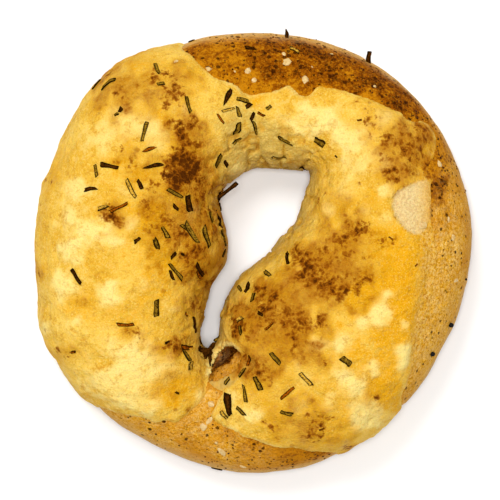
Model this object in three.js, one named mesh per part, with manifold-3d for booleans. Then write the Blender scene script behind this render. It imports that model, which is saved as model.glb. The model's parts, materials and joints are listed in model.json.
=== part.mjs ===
// A bagel baked under melted cheese, with rosemary needles, salt flakes and poppy seeds on it.
// Millimetres, +Z up. The origin is on the surface it rests on, under the middle of its outline.
//
// The dough is one ring, lofted through ribs that run from the hole to the outside. The cheese is
// one skin over it, trimmed to the edge where it stopped flowing. The toppings lie where they fell.

import * as THREE from 'three';
import { ParametricGeometry } from 'three/addons/geometries/ParametricGeometry.js';
import { mergeVertices } from 'three/addons/utils/BufferGeometryUtils.js';
import Module from 'manifold-3d';

const wasm = await Module();
wasm.setup();

// ---------------------------------------------------------------- driving dimensions

const EQUATOR_SHARE = 0.4; // of the crown's height, where the dough is widest
const CROWN_POWER = 2.3; // superellipse power of the section above its widest line
const BASE_POWER = 2.7; // and below it
const BASE_OVERRUN = 1.8; // the round underside would reach this far below the surface, and is flat there
const AROUND = 70; // facets round the ring
const ACROSS = 28; // facets round a section
const CLEARANCE = 0.3; // between pieces that touch
const CHEESE_THICKNESS = 1.7;
const CHEESE_EDGE_SHARE = 0.45; // of the thickness, that is left at its trimmed edge
const CHEESE_EDGE_TAPER = 4; // how far in from that edge it reaches its full thickness
const CHEESE_RIM_BEVEL = 12; // degrees of the section over which the hanging rim thins out
const CHEESE_TUCK = 0.8; // how far the skin's surface dips into the dough where there is no cheese
const TIP_PINCH = 0.72; // how much thinner it is on the walls of the hole's narrow tip
const LEAF_THICKNESS = 0.55;
const LEAF_ARCH = 0.035; // rise of a leaf's middle, as a share of its length
const SEED_RADIUS = 0.6;

const COLOURS = {
	crust: 0xb5701f,
	cheese: 0xf0c552,
	green: 0x6b6234,
	dark: 0x2c1d10,
	rust: 0x6e3a14,
	pale: 0xb89a4a,
	salt: 0xf3e3c8,
	seed: 0x14100c
};

// Each rib: the hole's edge (x, y), then the outside as an angle and a radius from the origin,
// then the crown's height. They run counterclockwise from the tip of the hole's narrow end.
const RIBS = [
	[ - 11.6, - 27.0, 256, 57.6, 25 ],
	[ - 7.8, - 22.6, 272, 57.9, 28 ],
	[ - 6.8, - 18.2, 288, 57.6, 31 ],
	[ - 5.0, - 13.0, 303, 55.7, 33 ],
	[ - 2.2, - 8.4, 318, 56.2, 34 ],
	[ 1.3, - 5.4, 332, 55.9, 34.5 ],
	[ 5.8, - 2.2, 345, 56.3, 34.5 ],
	[ 9.4, 2.3, 358, 56.9, 34 ],
	[ 12.8, 6.0, 10, 57.2, 33.5 ],
	[ 14.8, 12.0, 22, 57.3, 32.5 ],
	[ 16.8, 19.8, 38, 57.6, 30.5 ],
	[ 12.0, 22.0, 56, 57.4, 28.5 ],
	[ 6.8, 22.6, 72, 57.0, 27.5 ],
	[ 2.0, 23.2, 86, 56.4, 27 ],
	[ - 3.0, 22.0, 100, 56.4, 27.5 ],
	[ - 7.6, 18.0, 116, 56.4, 29.5 ],
	[ - 10.0, 12.4, 132, 57.4, 31.5 ],
	[ - 9.4, 7.0, 148, 55.7, 33.5 ],
	[ - 8.6, 1.0, 163, 55.4, 34.5 ],
	[ - 9.8, - 4.4, 178, 55.1, 34.5 ],
	[ - 12.5, - 9.5, 193, 55.4, 34 ],
	[ - 14.1, - 15.0, 208, 56.1, 32.5 ],
	[ - 14.8, - 20.2, 223, 56.5, 30.5 ],
	[ - 14.0, - 24.6, 239, 56.3, 27.5 ]
];

// The cheese's edge seen from above, counterclockwise. Points beyond the dough's outline mean
// that it hangs over the side there, and the narrow notch parts its two ends.
const CHEESE_EDGE = [
	// the notch's right-hand side, with the torn bubble
	[ - 10.4, - 23.5 ], [ - 10.2, - 27.6 ], [ - 8.9, - 27.0 ], [ - 7.2, - 25.7 ], [ - 4.8, - 26.4 ],
	[ - 3.5, - 28.6 ], [ - 4.0, - 31.0 ], [ - 3.4, - 33.6 ], [ - 4.6, - 35.6 ], [ - 7.0, - 36.8 ],
	[ - 8.4, - 38.4 ], [ - 9.4, - 40.6 ], [ - 10.8, - 42.4 ], [ - 9.8, - 44.2 ],
	// along the front
	[ - 7.0, - 45.6 ], [ - 4.0, - 47.0 ], [ - 1.0, - 48.7 ], [ 2.0, - 49.4 ], [ 5.0, - 50.5 ],
	[ 8.0, - 51.2 ], [ 12.0, - 51.2 ], [ 15.0, - 52.0 ], [ 21.0, - 52.3 ], [ 24.0, - 54.5 ],
	// over the side at the front right
	[ 30.0, - 60.0 ], [ 42.0, - 54.0 ], [ 43.0, - 45.0 ], [ 39.4, - 41.0 ],
	// up the right
	[ 38.8, - 37.0 ], [ 40.0, - 34.0 ], [ 41.8, - 30.0 ], [ 43.2, - 26.0 ], [ 44.6, - 20.0 ],
	[ 45.7, - 15.0 ], [ 46.5, - 10.0 ], [ 47.2, - 5.0 ], [ 47.5, 0.0 ], [ 46.5, 4.0 ], [ 46.0, 8.0 ],
	[ 46.2, 12.0 ], [ 46.2, 17.0 ], [ 45.6, 20.8 ], [ 46.9, 24.0 ], [ 47.2, 29.0 ], [ 46.0, 31.5 ],
	[ 44.0, 33.0 ], [ 42.0, 32.9 ], [ 40.0, 33.4 ],
	// along the back
	[ 38.0, 35.3 ], [ 34.0, 37.0 ], [ 30.0, 38.8 ], [ 25.0, 40.2 ], [ 21.0, 41.4 ], [ 17.0, 41.9 ],
	[ 15.5, 40.3 ], [ 14.0, 39.4 ], [ 12.0, 39.7 ], [ 10.6, 41.0 ], [ 9.0, 42.3 ], [ 6.0, 41.0 ],
	[ 2.0, 40.2 ], [ - 1.0, 39.9 ], [ - 2.8, 40.6 ], [ - 5.0, 42.5 ], [ - 9.0, 44.0 ],
	[ - 12.0, 46.0 ], [ - 16.0, 50.0 ], [ - 20.0, 52.4 ], [ - 22.0, 56.0 ],
	// over the whole left side
	[ - 32.0, 60.0 ], [ - 50.0, 48.0 ], [ - 63.0, 27.0 ], [ - 68.0, 0.0 ], [ - 65.0, - 22.0 ],
	[ - 54.0, - 42.0 ], [ - 45.0, - 42.5 ],
	// along the front, back to the notch
	[ - 41.5, - 40.2 ], [ - 38.0, - 41.0 ], [ - 35.0, - 42.0 ], [ - 31.0, - 42.8 ],
	[ - 27.0, - 43.7 ], [ - 25.0, - 44.7 ], [ - 22.5, - 44.0 ], [ - 20.0, - 44.6 ],
	[ - 17.5, - 43.2 ], [ - 15.5, - 41.0 ], [ - 13.2, - 39.5 ], [ - 12.0, - 37.5 ],
	[ - 11.6, - 34.5 ], [ - 11.3, - 31.0 ], [ - 11.3, - 27.5 ], [ - 11.4, - 23.5 ]
];
const EDGE_STEPS = 2; // straight steps between two neighbouring points of the edge

// Where the cheese sagged into a thicker roll: direction from the origin, spread in degrees, extra.
const CHEESE_ROLLS = [ [ 129, 13, 1.0 ], [ 202, 10, 1.4 ], [ 298, 9, 0.7 ] ];

// Rosemary leaves: x, y, heading in degrees, length, width, tone, and how far the leaf's middle
// is ahead of the place it rests on, for one that sticks out over the hole.
const LEAVES = [
	// back left
	[ - 24.4, 46.6, - 67, 3.4, 0.9, 'green' ],
	[ - 37.2, 42.8, 20, 4.4, 1.0, 'green' ],
	[ - 6.2, 39.4, 66, 4.6, 1.2, 'dark' ],
	[ - 2.4, 38.7, - 15, 3.4, 1.0, 'green' ],
	[ - 3.6, 35.3, - 72, 2.8, 0.9, 'green' ],
	[ - 16.5, 37.5, - 76, 4.3, 0.8, 'green' ],
	[ - 27.8, 30.3, 74, 5.2, 0.9, 'green' ],
	[ - 3.5, 30.4, 88, 2.9, 1.4, 'green' ],
	[ - 26.8, 25.9, 20, 3.6, 0.8, 'rust' ],
	[ - 8.6, 22.8, 70, 3.6, 1.0, 'green' ],
	[ - 37.1, 21.4, - 13, 4.9, 1.1, 'dark' ],
	[ - 40.3, 20.4, - 73, 3.1, 0.8, 'green' ],
	[ - 25.6, 21.5, 14, 5.4, 1.0, 'dark' ],
	[ - 31.2, 15.8, - 63, 5.2, 1.0, 'pale' ],
	[ - 41.8, 15.5, 2, 3.3, 0.9, 'dark' ],
	[ - 34.3, 11.0, 26, 5.0, 0.5, 'rust' ],
	[ - 20.1, 14.3, - 24, 4.6, 1.0, 'green' ],
	[ - 16.6, 11.8, - 80, 4.2, 1.4, 'dark' ],
	// round the hole
	[ - 9.0, 13.4, 38, 6.4, 0.9, 'dark', 3.2 ],
	[ - 8.6, 8.1, - 49, 4.6, 1.0, 'dark' ],
	[ - 15.6, 4.4, - 52, 6.4, 1.2, 'green' ],
	[ - 11.8, 3.4, - 68, 5.5, 1.1, 'green' ],
	[ - 15.1, - 19.7, - 45, 3.7, 0.8, 'dark' ],
	[ 9.1, - 2.4, - 59, 4.1, 0.8, 'dark' ],
	// front left
	[ - 22.4, 4.5, - 58, 3.2, 1.1, 'green' ],
	[ - 24.8, 1.5, - 72, 2.8, 1.1, 'green' ],
	[ - 19.6, - 5.6, - 44, 5.6, 1.0, 'green' ],
	[ - 13.3, - 5.4, - 40, 5.0, 1.0, 'dark' ],
	[ - 45.6, - 7.0, - 51, 4.6, 1.0, 'dark' ],
	[ - 24.6, - 14.9, 89, 4.2, 1.1, 'green' ],
	[ - 32.8, - 19.3, - 2, 4.4, 0.5, 'rust' ],
	[ - 17.1, - 25.1, - 4, 4.4, 1.0, 'rust' ],
	[ - 17.7, - 27.1, - 40, 3.7, 1.0, 'green' ],
	// front right
	[ - 6.3, - 40.0, - 80, 5.6, 2.0, 'dark' ],
	[ - 3.0, - 41.8, - 43, 3.0, 0.9, 'green' ],
	[ - 1.8, - 37.0, - 77, 4.6, 0.9, 'green' ],
	[ 3.8, - 6.1, - 45, 3.0, 1.0, 'green' ],
	[ 5.9, - 28.1, - 48, 3.8, 1.1, 'green' ],
	[ 24.1, - 28.8, - 38, 3.0, 1.3, 'green' ],
	[ 13.7, - 33.5, - 46, 4.4, 0.9, 'pale' ],
	[ 1.3, - 34.4, - 63, 3.8, 1.1, 'green' ],
	[ 9.2, - 37.0, 39, 4.6, 0.7, 'rust' ],
	[ 8.8, - 42.0, - 13, 3.2, 0.8, 'green' ],
	// back right
	[ - 0.6, 52.2, - 11, 2.6, 1.0, 'dark' ],
	[ 10.9, 51.6, - 45, 2.8, 0.9, 'pale' ],
	[ 9.3, 27.9, - 32, 4.0, 0.8, 'green' ],
	[ 17.2, 27.6, - 25, 2.9, 1.6, 'green' ]
];

// Salt flakes: x, y, heading in degrees, length, width.
const FLAKES = [
	[ 8.9, 48.2, 40, 2.6, 2.1 ],
	[ 13.6, 43.8, 80, 2.5, 1.7 ],
	[ - 1.2, 46.1, 50, 2.0, 1.3 ],
	[ - 11.3, 46.4, - 30, 1.8, 1.2 ],
	[ 43.7, 6.1, 25, 2.6, 1.8 ],
	[ 51.3, 3.1, 70, 1.8, 1.2 ],
	[ 47.9, 21.9, 80, 2.2, 1.1 ],
	[ - 10.7, - 40.0, - 10, 2.2, 1.5 ],
	[ - 12.6, - 45.8, 10, 2.4, 1.9 ]
];
const FLAKE_THICKNESS = 0.6;

// Poppy seeds: x, y.
const SEEDS = [ [ 46.6, - 27.0 ], [ 51.6, - 19.6 ] ];

// ---------------------------------------------------------------- helpers

const radians = THREE.MathUtils.degToRad;
const DOWN = new THREE.Vector3( 0, 0, - 1 );
const ABOVE = 80; // rays that look for the surface start at this height

// Clears a geometry down to merged positions, which is what a closed solid needs.
function solidOf( geometry ) {

	const bare = geometry.clone();
	bare.deleteAttribute( 'normal' );
	bare.deleteAttribute( 'uv' );
	const merged = mergeVertices( bare, 1e-3 );
	return new wasm.Manifold( new wasm.Mesh( {
		numProp: 3,
		vertProperties: new Float32Array( merged.attributes.position.array ),
		triVerts: new Uint32Array( merged.index.array )
	} ) );

}

function geometryOf( solid ) {

	const mesh = solid.getMesh();
	const geometry = new THREE.BufferGeometry();
	geometry.setAttribute( 'position', new THREE.BufferAttribute( mesh.vertProperties, 3 ) );
	geometry.setIndex( new THREE.BufferAttribute( mesh.triVerts, 1 ) );
	geometry.computeVertexNormals();
	return geometry;

}

function material( colour, roughness ) {

	return new THREE.MeshStandardMaterial( { color: colour, roughness, metalness: 0 } );

}

function named( name, geometry, finish ) {

	const mesh = new THREE.Mesh( geometry, finish );
	mesh.name = name;
	return mesh;

}

function signedPower( value, power ) {

	return Math.sign( value ) * Math.abs( value ) ** power;

}

// ---------------------------------------------------------------- the ring's form

const holeRail = new THREE.CatmullRomCurve3(
	RIBS.map( ( [ x, y ] ) => new THREE.Vector3( x, y, 0 ) ), true, 'catmullrom' );

// The outer rail's z carries the crown's height.
const outerRail = new THREE.CatmullRomCurve3(
	RIBS.map( ( [ , , angle, radius, crown ] ) => new THREE.Vector3(
		radius * Math.cos( radians( angle ) ), radius * Math.sin( radians( angle ) ), crown ) ),
	true, 'catmullrom' );

// A point of the dough. u runs round the ring, and section is the angle round the section in
// degrees: 0 at the outside, 90 at the crown, 180 at the hole and 270 underneath.
function doughPoint( u, section, target ) {

	const turn = THREE.MathUtils.euclideanModulo( u, 1 );
	const hole = holeRail.getPoint( turn );
	const outside = outerRail.getPoint( turn );
	const crown = outside.z;
	const across = Math.cos( radians( section ) );
	const up = Math.sin( radians( section ) );
	const power = 2 / ( up > 0 ? CROWN_POWER : BASE_POWER );
	const share = ( 1 + signedPower( across, power ) ) / 2;
	const equator = crown * EQUATOR_SHARE;
	const reach = up > 0 ? crown - equator : equator + BASE_OVERRUN;
	const height = equator + reach * signedPower( up, power );
	return target.set(
		THREE.MathUtils.lerp( hole.x, outside.x, share ),
		THREE.MathUtils.lerp( hole.y, outside.y, share ),
		Math.max( height, 0 ) );

}

// The dough's outward direction at that point.
function doughNormal( u, section ) {

	const [ stepU, stepSection ] = [ 2e-3, 1.5 ];
	const [ a, b, c, d ] = [ 0, 1, 2, 3 ].map( () => new THREE.Vector3() );
	doughPoint( u - stepU, section, a );
	doughPoint( u + stepU, section, b );
	doughPoint( u, section - stepSection, c );
	doughPoint( u, section + stepSection, d );
	return b.sub( a ).cross( d.sub( c ) ).normalize();

}

// A closed surface that stands off from the dough by offset( u, section ).
function doughSkin( offset ) {

	return new ParametricGeometry( ( u, v, target ) => {

		const section = 360 * v;
		doughPoint( u, section, target );
		const distance = offset( u, section );
		if ( distance !== 0 ) target.addScaledVector( doughNormal( u, section ), distance );

	}, AROUND, ACROSS );

}

// ---------------------------------------------------------------- the cheese

// From 0, bare dough, to 1, full cheese. The skin hangs below the widest line, lowest on the
// left, and its lower edge rises and falls as it goes round.
function cheeseCover( u, section ) {

	const turn = 2 * Math.PI * u;
	const outside = outerRail.getPoint( THREE.MathUtils.euclideanModulo( u, 1 ) );
	const outerRim = - 20 + 12 * outside.x / outside.length()
		+ 6 * Math.sin( 5 * turn ) + 3 * Math.sin( 11 * turn + 1 );
	const holeRim = 208 + 6 * Math.sin( 4 * turn + 2 ) + 4 * Math.sin( 9 * turn );
	const wrapped = section > 270 ? section - 360 : section;
	return THREE.MathUtils.smoothstep( wrapped, outerRim - CHEESE_RIM_BEVEL, outerRim )
		* ( 1 - THREE.MathUtils.smoothstep( wrapped, holeRim, holeRim + CHEESE_RIM_BEVEL ) );

}

const edgeCurve = new THREE.CatmullRomCurve3(
	CHEESE_EDGE.map( ( [ x, y ] ) => new THREE.Vector3( x, y, 0 ) ), true, 'centripetal' );
const edgePoints = Array.from( { length: CHEESE_EDGE.length * EDGE_STEPS }, ( _, i ) => {

	const point = edgeCurve.getPoint( i / ( CHEESE_EDGE.length * EDGE_STEPS ) );
	return new THREE.Vector2( point.x, point.y );

} );

// From the share left at the trimmed edge to 1 further in.
function edgeTaper( u, section ) {

	const here = doughPoint( u, section, new THREE.Vector3() );
	const away = Math.min( ...edgePoints.map( ( point ) => Math.hypot( here.x - point.x, here.y - point.y ) ) );
	return THREE.MathUtils.lerp(
		CHEESE_EDGE_SHARE, 1, THREE.MathUtils.smoothstep( away, 0, CHEESE_EDGE_TAPER ) );

}

function cheeseThickness( u, section ) {

	const turn = THREE.MathUtils.euclideanModulo( u, 1 );
	const outside = outerRail.getPoint( turn );
	const heading = THREE.MathUtils.radToDeg( Math.atan2( outside.y, outside.x ) );
	const outerHalf = Math.max( 0, Math.cos( radians( section - 15 ) ) );
	const holeHalf = THREE.MathUtils.smoothstep( - Math.cos( radians( section ) ), 0, 0.65 );
	const fromTip = holeRail.getPoint( turn ).distanceTo( holeRail.getPoint( 0 ) );
	const pinch = 1 - TIP_PINCH * holeHalf * ( 1 - THREE.MathUtils.smoothstep( fromTip, 1, 10 ) );
	const roll = CHEESE_ROLLS.reduce( ( sum, [ angle, spread, extra ] ) => {

		const away = THREE.MathUtils.euclideanModulo( heading - angle + 180, 360 ) - 180;
		return sum + extra * Math.exp( - ( ( away / spread ) ** 2 ) );

	}, 0 );
	return ( CHEESE_THICKNESS * pinch + roll * outerHalf ) * edgeTaper( u, section );

}

function cheeseSolid() {

	const top = solidOf( doughSkin( ( u, section ) => THREE.MathUtils.lerp(
		- CHEESE_TUCK, CLEARANCE + cheeseThickness( u, section ), cheeseCover( u, section ) ) ) );
	const underside = solidOf( doughSkin( () => CLEARANCE ) );
	const outline = new THREE.Shape( edgePoints );
	const cutter = solidOf( new THREE.ExtrudeGeometry( outline, { depth: ABOVE, bevelEnabled: false } ) );
	return top.subtract( underside ).intersect( cutter );

}

// ---------------------------------------------------------------- the toppings

// A dried rosemary leaf: a narrow blade whose two margins roll under, slightly arched and
// tapered to its tip. It runs along X, on Z = 0.
function leafGeometry( length, width, thickness ) {

	const half = width / 2;
	const blade = new THREE.Shape( [
		new THREE.Vector2( - 0.75 * half, 0 ),
		new THREE.Vector2( 0.75 * half, 0 ),
		new THREE.Vector2( half, 0.6 * thickness ),
		new THREE.Vector2( 0.5 * half, thickness ),
		new THREE.Vector2( 0, 0.75 * thickness ),
		new THREE.Vector2( - 0.5 * half, thickness ),
		new THREE.Vector2( - half, 0.6 * thickness )
	] );
	const geometry = new THREE.ExtrudeGeometry( blade, { depth: length, steps: 3, bevelEnabled: false } );
	geometry.translate( 0, 0, - length / 2 );
	const place = geometry.attributes.position;
	for ( let i = 0; i < place.count; i ++ ) {

		const along = place.getZ( i ) / length; // from -0.5 to 0.5
		const taper = 1 - 0.35 * Math.max( 0, along ) - 0.1 * Math.max( 0, - along );
		const arch = LEAF_ARCH * length * ( 1 - 4 * along * along );
		place.setXYZ( i, place.getZ( i ), place.getX( i ) * taper, place.getY( i ) * taper + arch );

	}

	return geometry;

}

function flakeGeometry( length, width, thickness ) {

	const geometry = new THREE.CylinderGeometry( 0.4, 0.5, 1, 6 );
	geometry.rotateX( Math.PI / 2 );
	geometry.scale( length, width, thickness );
	geometry.translate( 0, 0, thickness / 2 );
	return geometry;

}

// Lays a piece on whatever is under (x, y), turned to its heading, and lifts it off until a copy
// that is fatter by the clearance touches nothing. It lies along the surface unless it is level.
function settle( mesh, fatGeometry, x, y, heading, ground, level = false ) {

	const ray = new THREE.Raycaster( new THREE.Vector3( x, y, ABOVE ), DOWN );
	const hit = ray.intersectObjects( ground.meshes )[ 0 ];
	const up = level ? DOWN.clone().negate() : hit.face.normal.clone();
	const facing = new THREE.Vector3( Math.cos( radians( heading ) ), Math.sin( radians( heading ) ), 0 );
	const side = up.clone().cross( facing ).normalize();
	const forward = side.clone().cross( up );
	mesh.setRotationFromMatrix( new THREE.Matrix4().makeBasis( forward, side, up ) );
	for ( let lift = CLEARANCE; ; lift += CLEARANCE / 3 ) {

		mesh.position.copy( hit.point ).addScaledVector( up, lift );
		mesh.updateMatrixWorld( true );
		const fat = solidOf( fatGeometry.clone().applyMatrix4( mesh.matrixWorld ) );
		if ( ground.solids.every( ( solid ) => fat.intersect( solid ).isEmpty() ) ) break;

	}

	ground.solids.push( solidOf( mesh.geometry.clone().applyMatrix4( mesh.matrixWorld ) ) );
	return mesh;

}

// A leaf, flake or seed with its fatter copy, which reaches the clearance below it too.
function fattened( make, length, width, thickness ) {

	const grow = 2 * CLEARANCE;
	return make( length + grow, width + grow, thickness + grow ).translate( 0, 0, - CLEARANCE );

}

function layLeaves( ground ) {

	return LEAVES.map( ( [ x, y, heading, length, width, tone, ahead = 0 ], i ) => {

		const name = `rosemary_leaf_${String( i + 1 ).padStart( 2, '0' )}`;
		const blade = leafGeometry( length, width, LEAF_THICKNESS ).translate( ahead, 0, 0 );
		const fatBlade = fattened( leafGeometry, length, width, LEAF_THICKNESS ).translate( ahead, 0, 0 );
		const leaf = named( name, blade, material( COLOURS[ tone ], 0.7 ) );
		return settle( leaf, fatBlade, x, y, heading, ground, ahead > 0 );

	} );

}

function layFlakes( ground ) {

	return FLAKES.map( ( [ x, y, heading, length, width ], i ) => {

		const geometry = flakeGeometry( length, width, FLAKE_THICKNESS );
		const flake = named( `salt_flake_${i + 1}`, geometry, material( COLOURS.salt, 0.3 ) );
		return settle( flake, fattened( flakeGeometry, length, width, FLAKE_THICKNESS ), x, y, heading, ground );

	} );

}

function laySeeds( ground ) {

	return SEEDS.map( ( [ x, y ], i ) => {

		const seed = ( radius ) => new THREE.SphereGeometry( radius, 8, 6 ).translate( 0, 0, SEED_RADIUS );
		const mesh = named( `poppy_seed_${i + 1}`, seed( SEED_RADIUS ), material( COLOURS.seed, 0.6 ) );
		return settle( mesh, seed( SEED_RADIUS + CLEARANCE ), x, y, 0, ground );

	} );

}

// ---------------------------------------------------------------- the bagel

const bagel = new THREE.Group();
const dough = named( 'bread_ring', doughSkin( () => 0 ), material( COLOURS.crust, 0.75 ) );
const cheese = named( 'melted_cheese', geometryOf( cheeseSolid() ), material( COLOURS.cheese, 0.45 ) );
const ground = {
	meshes: [ dough, cheese ],
	solids: [ solidOf( dough.geometry ), solidOf( cheese.geometry ) ]
};
bagel.add( dough, cheese, ...layLeaves( ground ), ...layFlakes( ground ), ...laySeeds( ground ) );

export default bagel;
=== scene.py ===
"""Cheese and rosemary bagel.

A baked ring of dough under melted, browned cheese, with cut rosemary, salt flakes and poppy seeds
on it. Each operator makes one piece or one kind of piece, and the stage has its own. Lengths in
the tables are millimetres, and a place seen from above is an (x, y) of the frame.
"""

import itertools
import json
import math
import random

import bpy
import numpy as np
from bpy.props import FloatProperty, FloatVectorProperty, IntProperty, PointerProperty
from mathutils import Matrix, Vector
from mathutils.bvhtree import BVHTree


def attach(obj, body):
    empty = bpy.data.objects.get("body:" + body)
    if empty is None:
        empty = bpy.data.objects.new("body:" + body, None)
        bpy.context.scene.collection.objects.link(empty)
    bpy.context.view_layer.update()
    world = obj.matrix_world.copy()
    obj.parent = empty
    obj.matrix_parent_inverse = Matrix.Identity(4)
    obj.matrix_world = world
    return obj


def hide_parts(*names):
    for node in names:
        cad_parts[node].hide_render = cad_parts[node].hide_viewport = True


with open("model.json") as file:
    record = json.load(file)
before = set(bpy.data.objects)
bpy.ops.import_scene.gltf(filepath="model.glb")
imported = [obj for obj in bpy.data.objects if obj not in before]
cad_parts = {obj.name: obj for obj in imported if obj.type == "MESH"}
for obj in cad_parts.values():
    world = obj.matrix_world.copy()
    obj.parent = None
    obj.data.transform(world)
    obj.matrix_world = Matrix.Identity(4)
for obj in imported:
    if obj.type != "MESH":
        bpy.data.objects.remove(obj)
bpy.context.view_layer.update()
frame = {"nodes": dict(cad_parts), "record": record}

bl_info = {
    "name": "Cheese and rosemary bagel",
    "version": (1, 0, 0),
    "blender": (4, 5, 0),
    "location": "View3D > Sidebar > Bagel",
    "description": "Builds a baked bagel with melted cheese, rosemary, salt and poppy seeds",
    "category": "Add Mesh",
}

MM = 0.001

DOWN = Vector((0, 0, -1))
UP = Vector((0, 0, 1))

# All of these are in millimetres.
BASE_TOP = 0.3  # what lies lower than this is the dough's flat base
CHEESE_ROOT = 0.45  # how far the cheese's underside lies in the dough
DROP_FROM = 80  # a height well above everything
SIDE_LEVELS = (13, 18, 23, 28, 33)  # heights at which to look for the side of the dough
BESIDE = 3  # how far from the side something may be and still lie on it
TOUCHING = 1.6  # a leaf whose middle is nearer the surface than this lies on it
LEAF_SINK = 0.16  # how far a leaf sinks into what it lies on
BIT_SINK = 0.1  # and a small leaf

SMOOTHING_STEPS = (0.5, -0.53)
SMOOTHING_ROUNDS = 60

# -------------------------------------------------------------------------------- where things lie

# The cheese's edge seen from above, counterclockwise. It runs past the dough's outline where the
# cheese hangs over the side.
CHEESE_EDGE = [
    # the crease below the hole's tip and the torn film
    (-10.9, -23.5), (-10.6, -27), (-10.7, -29.5), (-10.9, -32.5), (-11, -34.5), (-10, -35.4),
    (-8.6, -36), (-7.4, -36.9), (-8.4, -38.3), (-9.3, -40.2), (-10.5, -42.6), (-9.6, -44.2),
    # along the front
    (-7, -45.6), (-4, -47), (-1, -48.7), (2, -49.4), (5, -50.5), (8, -51.2), (12, -51.2),
    (15, -52), (21, -52.3), (25, -51.6), (28, -52.2),
    # over the side at the front right
    (31, -57), (42, -54), (43.5, -46), (39.2, -41.6),
    # up the right
    (38.4, -38), (39.6, -34.6), (41.8, -30), (43.2, -26), (44.6, -20), (45.7, -15), (46.5, -10),
    (47.2, -5), (47.5, 0), (46.5, 4), (46, 8), (46.2, 12), (46, 16.4), (46.6, 18.2), (45.4, 20.4),
    (46.1, 22.6), (46.9, 24), (47.2, 29), (46, 31.5), (44, 33), (42, 32.9), (40, 33.4),
    # along the back
    (38, 35.3), (34, 37), (30, 38.8), (25, 40.2), (21, 41.4), (17, 41.9), (15.5, 40.3), (14, 39.4),
    (12, 39.7), (10.6, 41), (9, 42.3), (6, 41), (2, 40.2), (-1, 39.9), (-2.8, 40.6), (-5, 42.5),
    (-9, 44), (-12, 46), (-16, 50), (-18.6, 52), (-20.5, 56),
    # over the whole left side
    (-32, 60), (-50, 48), (-63, 27), (-68, 0), (-65, -22), (-54, -40), (-45.5, -40.8),
    # along the front, back to the crease
    (-41.5, -40.2), (-38, -41), (-35, -42), (-31, -42.8), (-27, -43.7), (-25, -44.7), (-22.5, -44),
    (-20, -44.6), (-17.5, -43.2), (-15.5, -41), (-13.2, -39), (-12.1, -37), (-11.7, -34.5),
    (-11.5, -31), (-11.4, -27), (-11.2, -23.5),
]

# A bubble that tore open beside the hole's tip: the hole in the cheese.
TORN_BUBBLE = [
    (-11.3, -33.6), (-11, -31.6), (-10.5, -29.6), (-9.9, -27.9), (-8.9, -26.2), (-7.4, -25),
    (-5.6, -24.9), (-4.2, -25.8), (-2.9, -27.2), (-3, -28.6), (-4, -30.4), (-5.4, -31.8),
    (-7.4, -33), (-9.6, -34),
]
# The film of cheese below it, too thin to hide the dough.
THIN_FILM = [
    (-11.2, -32), (-9, -32.2), (-6, -31), (-4.4, -29.2), (-3.4, -28), (-1.4, -27.5), (0.6, -28),
    (1.6, -29.4), (0.8, -31), (-1, -32), (-3, -33.2), (-4.4, -34.8), (-6.2, -36), (-8.6, -36.4),
    (-11.2, -35.2),
]
# The tip of the hole, and the middle of the film beside it.
TIP = (-11.4, -25.5)
FILM_MIDDLE = (-6.5, -30)
# The crease in the dough that runs on from the tip: its x, and where it starts and ends in y.
CREASE_X, CREASE_START, CREASE_END = -11.1, -25, -33
# The line along which the bubble's skin stands up as a flap: a point on it, and the flap's way.
FLAP_LINE, FLAP_WAY = (-11.0, -32.6), (-0.593, 0.805)

# A blister whose skin came off and shows the pale inside.
BLISTER = [
    (36.4, 8.4), (35.8, 10.6), (36.1, 13.2), (37.3, 15), (38.6, 15.6), (40, 16.6), (43, 17.8),
    (45.2, 18), (47.5, 15), (47.5, 8), (45.3, 6.6), (44.2, 4.6), (42.3, 3.5), (40.2, 4.2),
    (38.2, 6.2),
]

# How far the side stands out past the solid, in millimetres, every 5 degrees from +X.
BULGE = (
    0.0, 0.3, 0.4, 0.3, 0.2, 0.2, 0.2, 0.2, 0.4, 0.5, 0.5, 0.3,
    0.3, 0.4, 0.4, 0.2, 0.2, 0.2, 0.0, 0.0, 0.1, 0.3, 0.1, -0.2,
    0.4, 0.2, -0.3, -0.6, -0.3, -0.1, -0.3, -0.3, -0.2, -0.1, -0.1, 0.0,
    0.1, 0.1, -0.1, -0.2, 0.4, 0.3, 0.2, 0.4, 0.4, 0.8, 1.1, 0.8,
    0.5, 0.5, 0.3, 0.1, 0.3, 0.4, 0.4, 0.4, 0.3, 0.2, 0.3, 0.5,
    0.5, -0.1, -0.1, 0.3, 0.1, -0.2, -0.3, -0.4, -0.4, -0.4, -0.4, -0.3,
)

# Where the cheese sagged into a thicker roll: heading and spread in degrees, extra thickness.
ROLLS = [(129, 13, 1.0), (202, 10, 1.4), (298, 9, 0.7)]

# The tables of soft spots from here on are x, y, radius and strength, where 1 is full strength.

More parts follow.
